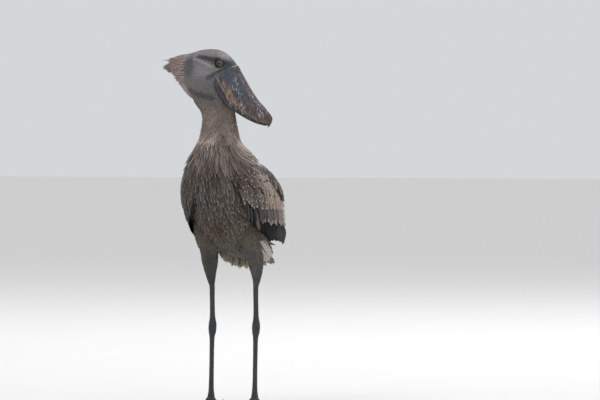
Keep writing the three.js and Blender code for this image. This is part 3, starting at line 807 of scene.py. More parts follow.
def vane_marks():
    """Group: a feather's dark shaft streak, pale fringe and fine barbs, over its tint."""
    if "vane_marks" in bpy.data.node_groups:
        return bpy.data.node_groups["vane_marks"]
    floats = [("Streak", 0.4), ("Streak Width", 0.3), ("Fringe", 0.3), ("Tip Fringe", 0.2), ("Barbs", 60.0)]
    graph, given, result = new_group(
        "vane_marks",
        [("Tint", "NodeSocketColor", None), ("Pale", "NodeSocketColor", None)]
        + [(label, "NodeSocketFloat", value) for label, value in floats],
        [("Color", "NodeSocketColor"), ("Height", "NodeSocketFloat")],
    )
    split = graph.node("ShaderNodeSeparateXYZ")
    graph.feed(split.inputs[0], graph.node("ShaderNodeUVMap", uv_map="Vane").outputs[0])
    edge = graph.math("ABSOLUTE", graph.math("MULTIPLY_ADD", split.outputs[0], 2.0, -1.0))
    down = split.outputs[1]
    ragged = graph.noise(graph.node("ShaderNodeTexCoord").outputs["Object"], 900.0, 2.0)
    wide = graph.math("MULTIPLY", given["Streak Width"], graph.math("ADD", ragged, 0.5))
    streak = graph.math("SUBTRACT", 1.0, graph.span(edge, graph.math("MULTIPLY", wide, 0.2), wide))
    streak = graph.math("MULTIPLY", graph.math("MULTIPLY", streak, given["Streak"]), graph.span(down, 0.0, 0.5))
    rim = graph.math("MULTIPLY", graph.span(graph.math("ADD", edge, graph.math("MULTIPLY", ragged, 0.3)), 0.75, 1.15),
                     given["Fringe"])
    tip = graph.math("MULTIPLY", graph.span(graph.math("ADD", down, graph.math("MULTIPLY", ragged, 0.1)), 0.86, 1.03),
                     given["Tip Fringe"])
    pale = graph.math("MAXIMUM", rim, tip)
    barb = graph.math("SINE", graph.math("MULTIPLY", graph.math("SUBTRACT", down, graph.math("MULTIPLY", edge, 0.22)),
                                         graph.math("MULTIPLY", given["Barbs"], 6.283)))
    dark = graph.mix(streak, given["Tint"], (0.0, 0.0, 0.0))
    light = graph.mix(pale, dark, given["Pale"])
    fine = graph.math("MULTIPLY_ADD", barb, 0.05, 0.97)
    grain = graph.math("MULTIPLY", fine, graph.math("MULTIPLY_ADD", ragged, 0.3, 0.85))
    shade = graph.node("ShaderNodeVectorMath", operation="SCALE")
    graph.feed(shade.inputs[0], light)
    graph.feed(shade.inputs["Scale"], grain)
    graph.feed(result["Color"], shade.outputs[0])
    graph.feed(result["Height"], barb)
    return graph.tree


def new_material(name, **values):
    material = bpy.data.materials.new(name)
    material.use_nodes = True
    graph = Graph(material.node_tree)
    shader = material.node_tree.nodes["Principled BSDF"]
    for key, value in values.items():
        graph.feed(shader.inputs[key.replace("_", " ")], value)
    return material, graph, shader


EDGE_GAIN = 25.0  # feathers darker than 1 / this have darker pale edges too


def feather_material(name, streak, streak_width, fringe, tip_fringe, barbs, pale, roughness=0.75, sheen=0.15,
                     gloss=0.25):
    """A feather finish over the mesh's own tint."""
    if name in bpy.data.materials:
        return bpy.data.materials[name]
    material, graph, shader = new_material(name, Roughness=roughness, Sheen_Weight=sheen, Specular_IOR_Level=gloss)
    shader.inputs["Sheen Roughness"].default_value = 0.6
    marks = graph.node("ShaderNodeGroup", node_tree=vane_marks())
    tint = graph.node("ShaderNodeAttribute", attribute_name="tint").outputs["Color"]
    graph.feed(marks.inputs["Tint"], tint)
    brightness = graph.node("ShaderNodeRGBToBW")
    graph.feed(brightness.inputs[0], tint)
    edge = graph.node("ShaderNodeVectorMath", operation="SCALE")
    graph.feed(edge.inputs[0], tuple(pale)[:3])
    level = graph.math("MULTIPLY", brightness.outputs[0], EDGE_GAIN, clamp=True)
    graph.feed(edge.inputs["Scale"], graph.math("POWER", level, 1.8))
    graph.feed(marks.inputs["Pale"], edge.outputs[0])
    for label, value in (("Streak", streak), ("Streak Width", streak_width), ("Fringe", fringe),
                         ("Tip Fringe", tip_fringe), ("Barbs", barbs)):
        marks.inputs[label].default_value = value
    graph.feed(shader.inputs["Base Color"], marks.outputs["Color"])
    graph.feed(shader.inputs["Normal"], graph.bump(marks.outputs["Height"], 0.0001, 0.5))
    return material


def skin_material():
    """Skin under the coat, with the coat's colours and a fine downy grain."""
    material, graph, shader = new_material("down_skin", Roughness=0.9, Specular_IOR_Level=0.15)
    tint = graph.node("ShaderNodeAttribute", attribute_name="tint").outputs["Color"]
    grain = graph.noise(graph.stretched((0, 0, 0), (1, 1, 0.25)), 420.0, 4.0, 0.6)
    shade = graph.math("MULTIPLY_ADD", grain, 0.7, 0.4)
    scaled = graph.node("ShaderNodeVectorMath", operation="SCALE")
    graph.feed(scaled.inputs[0], tint)
    graph.feed(scaled.inputs["Scale"], shade)
    graph.feed(shader.inputs["Base Color"], scaled.outputs[0])
    graph.feed(shader.inputs["Normal"], graph.bump(grain, 0.0008, 0.6))
    return material


def bill_material(name, upper):
    """Horn with blue-grey, ochre and brown-purple fields, pale scratches and dark flecks along the bill."""
    tones = colours()
    material, graph, shader = new_material(name, Roughness=0.42, Specular_IOR_Level=0.5)
    split = graph.node("ShaderNodeSeparateXYZ")
    graph.feed(split.inputs[0], graph.node("ShaderNodeUVMap", uv_map="UVMap").outputs[0])
    down = split.outputs[1]
    off_ridge = graph.math("MULTIPLY", graph.math("ABSOLUTE", graph.math("SUBTRACT", split.outputs[0], 0.5)), 2.0)
    off_ridge = graph.math("SUBTRACT", 1.0, off_ridge)
    lengthways = graph.stretched((0.0, -1.05, 0.0), (1.0, 1.0, 0.3))
    blotch = graph.noise(lengthways, 42.0, 5.0, 0.65, 0.8)
    wobble = graph.math("MULTIPLY_ADD", blotch, 0.6, -0.3)
    at = graph.math("ADD", down, wobble)
    across = graph.math("ADD", off_ridge, graph.math("MULTIPLY", wobble, 0.35))
    base = graph.mix(graph.span(at, 0.3, 0.5), tones.bill_blue, tones.bill_ridge)
    base = graph.mix(graph.span(at, 0.5, 0.75), base, tones.bill_end)
    if upper:
        base = graph.mix(graph.math("SUBTRACT", 1.0, graph.span(across, 0.12, 0.22)), base, tones.bill_ridge)
        brown = graph.math("MULTIPLY", graph.span(across, 0.36, 0.44), graph.span(at, 0.08, 0.22))
        base = graph.mix(graph.math("MULTIPLY", brown, 0.7), base, tones.bill_end)
        band = graph.math("MULTIPLY", graph.span(across, 0.415, 0.45), graph.math(
            "SUBTRACT", 1.0, graph.span(off_ridge, 0.462, 0.474)))
        along_it = graph.math("MULTIPLY", graph.span(at, 0.08, 0.2), graph.math(
            "SUBTRACT", 1.0, graph.span(at, 0.36, 0.56)))
        base = graph.mix(graph.math("MULTIPLY", band, along_it), base, tones.tomium)
        base = graph.mix(graph.math("MULTIPLY", graph.math("MULTIPLY", band, graph.span(at, 0.4, 0.55)), 0.25),
                         base, tones.tomium)
        rim = graph.math("MULTIPLY", graph.span(off_ridge, 0.472, 0.486), graph.math(
            "SUBTRACT", 1.0, graph.span(down, 0.34, 0.46)))
        base = graph.mix(graph.math("MULTIPLY", rim, 0.75), base, tones.tomium)
        rim = graph.math("MULTIPLY", graph.span(off_ridge, 0.455, 0.48), graph.span(down, 0.36, 0.48))
        base = graph.mix(graph.math("MULTIPLY", rim, 0.9), base, tones.bill_dark)
    else:
        base = graph.mix(0.8, base, tones.lower_bill)
        rim = graph.math("SUBTRACT", 1.0, graph.span(down, 0.015, 0.05))
        base = graph.mix(graph.math("MULTIPLY", rim, 0.5), base, tones.bill_fleck)
    # Painted shadow: the upper bill darkened at its base, along the join with the face.
    if upper:
        base = graph.mix(graph.math("SUBTRACT", 1.0, graph.span(down, 0.02, 0.06)), base, tones.bill_dark)
    patch = graph.noise(lengthways, 110.0, 5.0, 0.7, 1.2)
    dark = graph.math("MULTIPLY", graph.span(patch, 0.46, 0.62), 0.8)
    base = graph.mix(dark, base, tones.bill_dark)
    base = graph.mix(graph.span(at, 0.9, 0.99), base, tones.bill_tip)
    fleck = graph.noise(lengthways, 150.0, 4.0, 0.7, 1.0)
    zone = graph.math("MULTIPLY", graph.span(down, 0.04, 0.16), graph.math(
        "SUBTRACT", 1.0, graph.span(down, 0.6, 0.85)))
    zone = graph.math("MULTIPLY", zone, graph.span(graph.noise(lengthways, 36.0, 2.0, 0.5), 0.36, 0.58))
    pale = graph.math("MULTIPLY", graph.span(fleck, 0.54, 0.64), zone)
    base = graph.mix(graph.math("MULTIPLY", pale, 0.8 if upper else 0.3), base, tones.bill_fleck)
    scratch = graph.noise(graph.stretched((0.0, -1.05, 0.0), (1.0, 1.0, 0.08)), 420.0, 2.0, 0.5, 0.3)
    base = graph.mix(graph.math("MULTIPLY", graph.span(scratch, 0.62, 0.74), 0.25), base, tones.bill_fleck)
    if upper:
        slit = graph.node("ShaderNodeAttribute", attribute_name="nostril").outputs["Fac"]
        base = graph.mix(slit, base, (0.006, 0.006, 0.007))
    graph.feed(shader.inputs["Base Color"], base)
    graph.feed(shader.inputs["Roughness"], graph.math("MULTIPLY_ADD", fleck, 0.35, 0.24))
    relief = graph.math("ADD", graph.math("MULTIPLY", scratch, 0.5), graph.math("MULTIPLY", blotch, 0.8))
    graph.feed(shader.inputs["Normal"], graph.bump(relief, 0.0012, 0.6))
    return material


def leg_material():
    """Slate skin broken into small many-sided scales with darker seams."""
    tones = colours()
    material, graph, shader = new_material("scaly_leg", Roughness=0.55, Specular_IOR_Level=0.4)
    spread = graph.stretched((0, 0, 0), (1.0, 1.0, 0.75))
    seam = graph.cells(spread, 260.0)
    scale = graph.span(seam, 0.02, 0.16)
    mottled = graph.noise(spread, 60.0, 3.0)
    body = graph.mix(mottled, tones.leg_dark, tones.leg)
    graph.feed(shader.inputs["Base Color"], graph.mix(scale, tones.leg_seam, body))
    graph.feed(shader.inputs["Roughness"], graph.math("MULTIPLY_ADD", scale, -0.2, 0.7))
    graph.feed(shader.inputs["Normal"], graph.bump(scale, 0.0006, 0.8))
    return material


def claw_material():
    tones = colours()
    material, graph, shader = new_material("claw_horn", Roughness=0.35, Specular_IOR_Level=0.5)
    streaks = graph.noise(graph.stretched((0, 0, 0), (1, 1, 3)), 220.0, 3.0)
    graph.feed(shader.inputs["Base Color"], graph.mix(streaks, tones.claw, tones.leg_dark))
    graph.feed(shader.inputs["Normal"], graph.bump(streaks, 0.0003, 0.5))
    return material


def eye_material(side):
    """Pale iris with fine spokes, round pupil and a dark rim, under a wet coat."""
    tones = colours()
    material, graph, shader = new_material(f"eye_{side}", Roughness=0.2, Specular_IOR_Level=0.3)
    shader.inputs["Coat Weight"].default_value = 0.35
    shader.inputs["Coat Roughness"].default_value = 0.02
    centre = place([EYES[0], EYES[1] + side_sign(side) * EYE_OUT, EYES[2]])
    mapping = graph.node("ShaderNodeMapping")
    graph.feed(mapping.inputs["Vector"], graph.node("ShaderNodeTexCoord").outputs["Object"])
    mapping.inputs["Location"].default_value = tuple(-centre)
    split = graph.node("ShaderNodeSeparateXYZ")
    graph.feed(split.inputs[0], mapping.outputs[0])
    far = graph.math("SQRT", graph.math("ADD", graph.math("POWER", split.outputs[0], 2.0),
                                        graph.math("POWER", split.outputs[2], 2.0)))
    angle = graph.math("ARCTAN2", split.outputs[0], split.outputs[2])
    spoke_at = graph.node("ShaderNodeCombineXYZ")
    graph.feed(spoke_at.inputs[0], graph.math("MULTIPLY", angle, 3.0))
    graph.feed(spoke_at.inputs[1], graph.math("MULTIPLY", far, 60.0))
    spokes = graph.noise(spoke_at.outputs[0], 6.0, 3.0)
    iris = graph.mix(spokes, tones.iris_dark, tones.iris)
    inner = graph.mix(graph.span(far, 0.004, 0.006), tones.iris_dark, iris)
    rim = graph.mix(graph.span(far, 0.0084, 0.0096), inner, tones.eye_ring)
    graph.feed(shader.inputs["Base Color"], graph.mix(graph.span(far, 0.0037, 0.0042), (0.002, 0.002, 0.002), rim))
    return material


def side_sign(word):
    return 1 if word == "left" else -1


def tone(label, red, green, blue):
    return FloatVectorProperty(name=label, description=f"Colour of the {label.lower()}", subtype="COLOR",
                               size=3, min=0.0, max=1.0, default=tuple(srgb(red, green, blue)))


def millimetres(label, description, value):
    return FloatProperty(name=label, description=description, default=value, min=0.0, max=400.0)


class ShoebillSizes(bpy.types.PropertyGroup):
    """Sizes that a user would change, in millimetres unless they say otherwise."""
    body_depth: millimetres("Body coat", "Depth of the coat on the body, in millimetres", 8.0)
    head_depth: millimetres("Head coat", "Depth of the coat on the head, in millimetres", 2.4)
    breast_length: millimetres("Breast feather", "Length of a breast feather, in millimetres", 50.0)
    neck_length: millimetres("Neck feather", "Length of a neck feather, in millimetres", 26.0)
    head_length: millimetres("Head feather", "Length of a head feather, in millimetres", 11.0)
    flight_count: IntProperty(name="Flight feathers", description="Flight feathers shown on each wing", default=26)


class ShoebillColours(bpy.types.PropertyGroup):
    """Colours of the plumage, bill, eyes and legs."""
    crown: tone("Crown", 145, 134, 139)
    forehead: tone("Forehead", 174, 166, 163)
    nape: tone("Nape", 164, 147, 143)
    cheek: tone("Cheek", 119, 117, 121)
    # Colour of the painted highlight on the upper cheek.
    upper_cheek_highlight: tone("Upper cheek", 147, 145, 146)
    cheek_low: tone("Lower cheek", 117, 113, 111)
    # Colour of the painted shade on the rear of the cheek.
    rear_cheek_shade: tone("Rear of the cheek", 76, 79, 85)
    # Colour of the painted shade along the line behind the cheek.
    behind_cheek_shade: tone("Line behind the cheek", 70, 65, 68)
    # Colour of the painted shade in the crease under the jaw.
    crease_shade: tone("Crease under the jaw", 46, 43, 44)
    # Dark lores between eye and bill, and also the painted shade under the brow ridge and at the bill's base.
    lore_and_shade: tone("Stripe behind the eye", 54, 58, 64)
    # Colour of the painted highlight along the cheek's upper edge.
    cheek_edge_highlight: tone("Line under the stripe", 160, 158, 156)
    eye_ring: tone("Bare ring round the eye", 26, 27, 30)
    crest: tone("Crest", 128, 112, 106)
    crest_dark: tone("Longest crest feathers", 62, 60, 66)
    neck: tone("Upper neck", 114, 106, 99)
    neck_low: tone("Lower neck", 144, 127, 119)
    breast_high: tone("Upper breast", 140, 126, 118)
    breast: tone("Breast", 72, 63, 57)
    flank: tone("Lower breast", 72, 64, 56)
    belly: tone("Belly", 84, 77, 62)
    stain: tone("Brown patch on the belly", 58, 41, 17)
    thigh: tone("Thigh", 74, 72, 66)
    shank: tone("Lower thigh", 66, 65, 61)
    back: tone("Back", 96, 86, 82)
    undertail: tone("Loose feathers under the tail", 144, 134, 110)
    tuft: tone("Pale tuft behind the thigh", 216, 206, 198)
    shoulder: tone("Shoulder feathers", 92, 78, 72)
    # Highest shoulder feathers: pale-fringed feathers, made lighter still by a painted highlight for the light from
    # behind.
    shoulder_top_highlight: tone("Highest shoulder feathers", 168, 149, 139)
    shoulder_dark: tone("Lowest shoulder feathers", 52, 44, 41)
    covert_front: tone("Small wing coverts at the front", 88, 76, 69)
    covert: tone("Small wing coverts", 165, 143, 129)
    long_covert: tone("Great wing coverts at the front", 22, 19, 18)
    long_covert_rear: tone("Great wing coverts at the rear", 106, 92, 84)
    flight: tone("Flight feathers", 13, 13, 12)
    fringe: tone("Pale fringes", 182, 164, 154)
    bill_blue: tone("Base of the bill", 55, 64, 80)
    bill_mid: tone("Middle of the bill", 84, 88, 96)
    bill_end: tone("End of the bill", 80, 64, 56)
    bill_tip: tone("Nail of the bill", 44, 40, 42)
    bill_ridge: tone("Ridge of the bill", 72, 60, 66)
    bill_dark: tone("Dark marks on the bill", 32, 31, 36)
    bill_fleck: tone("Pale flecks on the bill", 190, 182, 180)
    tomium: tone("Edge of the upper bill", 138, 112, 92)
    lower_bill: tone("Lower bill", 48, 45, 53)
    iris: tone("Iris", 118, 103, 78)
    iris_dark: tone("Inner iris", 60, 50, 36)
    leg: tone("Leg", 70, 76, 80)
    leg_dark: tone("Leg, dark", 46, 52, 56)
    leg_seam: tone("Seams between scales", 30, 33, 36)
    claw: tone("Claws", 40, 37, 35)
    floor: tone("Floor", 222, 222, 222)


SKIN = {}  # the finished skin's search tree, kept for the operators that follow


class SkinOperator(bpy.types.Operator):
    """One skin for torso, neck, head, thighs and wings, inside the solids by the coat's depth"""
    bl_idname = "shoebill.skin"
    bl_label = "Skin"

    def execute(self, context):
        parts = [
            closed_form("trunk", trunk_skin, 96, 120),
            closed_form("skull", skull, 72, 72, -sizes().head_depth),
            closed_form("rump", tail_form, 32, 12, -3.0),
        ]
        for word, side in SIDES:
            parts.append(closed_form(f"thigh_{word}", thigh(side), 48, 40, -3.0))
            parts.append(closed_form(f"flank_{word}", flank(side), 40, 24, -7.0))
            parts.append(closed_form(f"wing_core_{word}", wing_core(side), 48, 60))
        skin = joined("skin", parts)
        modify(skin, "REMESH", mode="VOXEL", voxel_size=0.0036)
        modify(skin, "SMOOTH", factor=0.5, iterations=6)
        bpy.ops.object.shade_smooth()
        points = points_of(skin)
        faces = [tuple(polygon.vertices) for polygon in skin.data.polygons]
        SKIN["tree"] = BVHTree.FromPolygons([tuple(p) for p in points], faces)
        paint(skin, "tint", plumage(unplace(points)) * 0.9)
        nodes = ["torso", "neck", "head", "tail"]
        nodes += [f"{part}_{word}" for part in ("thigh", "wing") for word, side in SIDES]
        finish_piece(skin, "plumage", skin_material(), *nodes)
        return {"FINISHED"}


class BillOperator(bpy.types.Operator):
    """Upper and lower bill, with ridge, nostrils and hooked nail"""
    bl_idname = "shoebill.bill"
    bl_label = "Bill"

    def execute(self, context):
        upper = closed_form("bill_upper_horn", bill_half(UPPER_BILL, 0.8, 1), 168, 192)
        lower = closed_form("bill_lower_horn", bill_half(LOWER_BILL, 0.5, 0), 96, 128)
        f, l, h = (unplace(points_of(upper)) - np.array(EYES)).T
        slit = ((f - 51) * 0.515 - (h + 26.5) * 0.857) / 7.5, (np.abs(l) - 19) / 2.2
        dark = np.exp(-(slit[0] ** 4) - slit[1] ** 2) * ((f - 51) * 0.857 + (h + 26.5) * 0.515 > -9)
        paint(upper, "nostril", np.repeat(dark[:, None], 3, axis=1))
        finish_piece(upper, "bill", bill_material("bill_upper_finish", True), "bill_upper")
        finish_piece(lower, "bill", bill_material("bill_lower_finish", False), "bill_lower")
        return {"FINISHED"}


class EyesOperator(bpy.types.Operator):
    """Eyeballs and the bare rings round them"""
    bl_idname = "shoebill.eyes"
    bl_label = "Eyes"

    def execute(self, context):
        ring_material, graph, shader = new_material("eye_ring_skin", Roughness=0.5)
        wrinkle = graph.noise(graph.stretched((0, 0, 0), (1, 1, 1)), 700.0, 3.0)
        graph.feed(shader.inputs["Base Color"], graph.mix(wrinkle, (0.004, 0.004, 0.005), colours().eye_ring))
        graph.feed(shader.inputs["Normal"], graph.bump(wrinkle, 0.0003, 0.6))
        for word, side in SIDES:
            deselect()
            centre = place([EYES[0], EYES[1] + side * EYE_OUT, EYES[2]])
            bpy.ops.mesh.primitive_uv_sphere_add(segments=48, ring_count=32, radius=EYE_RADIUS * MM, location=centre)
            ball = bpy.context.object
            ball.name = ball.data.name = f"eyeball_{word}"
            bpy.ops.object.transform_apply(location=True, rotation=True, scale=True)
            bpy.ops.object.shade_smooth()
            finish_piece(ball, "eye", eye_material(word), f"eye_{word}")
            deselect()
            seat = place([EYES[0] + 1, EYES[1] + side * (EYE_OUT + 8.4), EYES[2]])
            bpy.ops.mesh.primitive_torus_add(major_segments=64, minor_segments=16, major_radius=0.0111,
                                             minor_radius=0.0025, location=seat,
                                             rotation=(math.pi / 2, 0, side * -0.16))
            ring = bpy.context.object
            ring.name = ring.data.name = f"eye_ring_{word}"
            bpy.ops.object.transform_apply(location=True, rotation=True, scale=True)
            bpy.ops.object.shade_smooth()
            finish_piece(ring, "plumage", ring_material)
        return {"FINISHED"}


class LegsOperator(bpy.types.Operator):
    """Bare scaly legs, feet and toes in one skin a side, with separate claws"""
    bl_idname = "shoebill.legs"
    bl_label = "Legs"

    def execute(self, context):
        scales, horn = leg_material(), claw_material()
        cells = bpy.data.textures.new("leg_cells", "VORONOI")
        cells.noise_scale = 0.0042
        for word, side in SIDES:
            parts = [closed_form("leg", leg_form(side), 40, 200)]
            deselect()
            bpy.ops.mesh.primitive_uv_sphere_add(segments=40, ring_count=24, radius=0.0168,
                                                 location=place([side * LEG_X, FOOT_Y, 11]), scale=(1, 1, 0.85))
            bpy.ops.object.transform_apply(location=True, rotation=True, scale=True)
            parts.append(bpy.context.object)
            for digit in TOES:
                parts.append(closed_form("toe", toe_form(side, digit), 28, 160))
            leg = joined(f"leg_{word}", parts)
            modify(leg, "REMESH", mode="VOXEL", voxel_size=0.0011)
            modify(leg, "SMOOTH", factor=0.5, iterations=2)
            modify(leg, "DISPLACE", texture=cells, texture_coords="GLOBAL", strength=0.0009, mid_level=0.35)
            points = points_of(leg)
            points[:, 2] = np.maximum(points[:, 2], 0.0)
            leg.data.vertices.foreach_set("co", points.ravel())
            bpy.ops.object.shade_smooth()
            nodes = [f"{part}_{word}" for part in ("shank", "tarsus", "foot")]
            finish_piece(leg, "leg", scales, *nodes, *[f"toe_{digit[0]}_{word}" for digit in TOES])
            for digit in TOES:
                claw = closed_form(f"claw_horn_{digit[0]}_{word}", claw_form(side, digit), 20, 32)
                finish_piece(claw, "claw", horn, f"claw_{digit[0]}_{word}")
        return {"FINISHED"}


class HeadCoatOperator(bpy.types.Operator):
    """Short plush on the head and the ragged crest on the nape"""
    bl_idname = "shoebill.head_coat"
    bl_label = "Head plush and crest"

    def execute(self, context):
        rng = np.random.default_rng(11)
        depth, tones = sizes().head_depth, colours()
        plush = Feathers("coat_head")
        t, turn = rows_on(skull, (0.02, 0.93), 3.6, 2.65, rng)
        roots = skull(t, turn, -depth)
        keep = shows(SKIN["tree"], roots, 3.0)
        f, l, h = (roots - np.array(EYES)).T
        keep &= np.hypot(f, h) > 13.0
        t, turn, f, h = t[keep], turn[keep], f[keep], h[keep]
        droop = np.sign(turn) * np.clip((np.abs(turn) - 1.2) * 0.5, 0, 0.7)
        length = sizes().head_length * np.interp(f, [-140, -108, -94, 20], [2.3, 1.9, 1.2, 0.8])
        lay(plush, skull, t, turn, -1, PLUSH, length, length * 0.36, 0.2, depth, 0.5, rng, sway=droop,
            tint=plumage(skull(t, turn)), twist=0.03, mottle=np.interp(f, [-115, -95], [0.12, 0.035]))
        finish = feather_material("plush_finish", 0.1, 0.3, 0.05, 0.1, 14.0, colours().forehead, 0.85)
        plush.build("plumage", finish)
        crest = Feathers("coat_crest")
        count = 1250
        t = np.where(np.arange(count) < 800, rng.uniform(0.0, 0.3, count), rng.uniform(0.0, 0.012, count))
        turn = np.where(np.arange(count) < 800, rng.uniform(-2.3, 2.3, count), rng.uniform(-3.1, 3.1, count))
        length = rng.uniform(20, 40, count)
        length *= np.interp(np.abs(turn - 0.4), [0, 1.2, 2.4, 3.4], [1.12, 0.9, 0.6, 0.5])
        stations = np.asarray(LANCE[0])
        root = skull(t, turn, -depth)
        lying = unit(skull(t, turn, 0.5) - skull(t + 0.02, turn, 0.0))
        around = np.linspace(-math.pi, math.pi, 24, endpoint=False)
        middle = skull(0 * around, around, -depth).mean(axis=0)
        inside = np.arange(count) >= 800
        root[inside] = middle + (root[inside] - middle) * np.sqrt(rng.uniform(0, 1, inside.sum()))[:, None]
        lying[inside] = (-1, 0, -0.3)
        beside = (root - np.array(EYES))[:, 1]
        hanging = np.stack([-np.ones(count), beside / 110, -0.3 + 0 * beside], axis=1)
        hanging = unit(hanging + rng.normal(0, 0.13, (count, 3)))
        root[0], lying[0], hanging[0], length[0] = in_head(-140, -10, 12), (-1, 0, -0.05), (-1, 0, 0.02), 60
        part = stations[None, :, None] * length[:, None, None]
        shafts = root[:, None] + part * (1 - 0.5 * stations[None, :, None]) * lying[:, None]
        shafts += part * 0.5 * stations[None, :, None] * hanging[:, None]
        facing = normal_of(skull, np.maximum(t, 0.03), turn)[:, None].repeat(len(stations), axis=1)
        shade = rng.uniform(0.35, 1, count)[:, None]
        near = smooth(0.1, 0.24, t)[:, None]
        tint = np.array(tones.crest) * (1 - shade) + np.array(tones.nape) * shade
        tint = tint * (1 - near) + np.array(tones.nape) * near
        tint[0] = tones.crest_dark
        width = rng.uniform(2.4, 4.2, count)
        width[0] = 2.6
        maps = np.stack([turn / 7 + 0.5, t + 0.2], axis=1)
        crest.add(shafts, facing, width, 0.5, LANCE, maps, vary(tint, rng, 0.07), 0.25)
        crest.build("plumage", feather_material("crest_finish", 0.2, 0.3, 0.2, 0.25, 40.0, colours().fringe, 0.85))
        return {"FINISHED"}


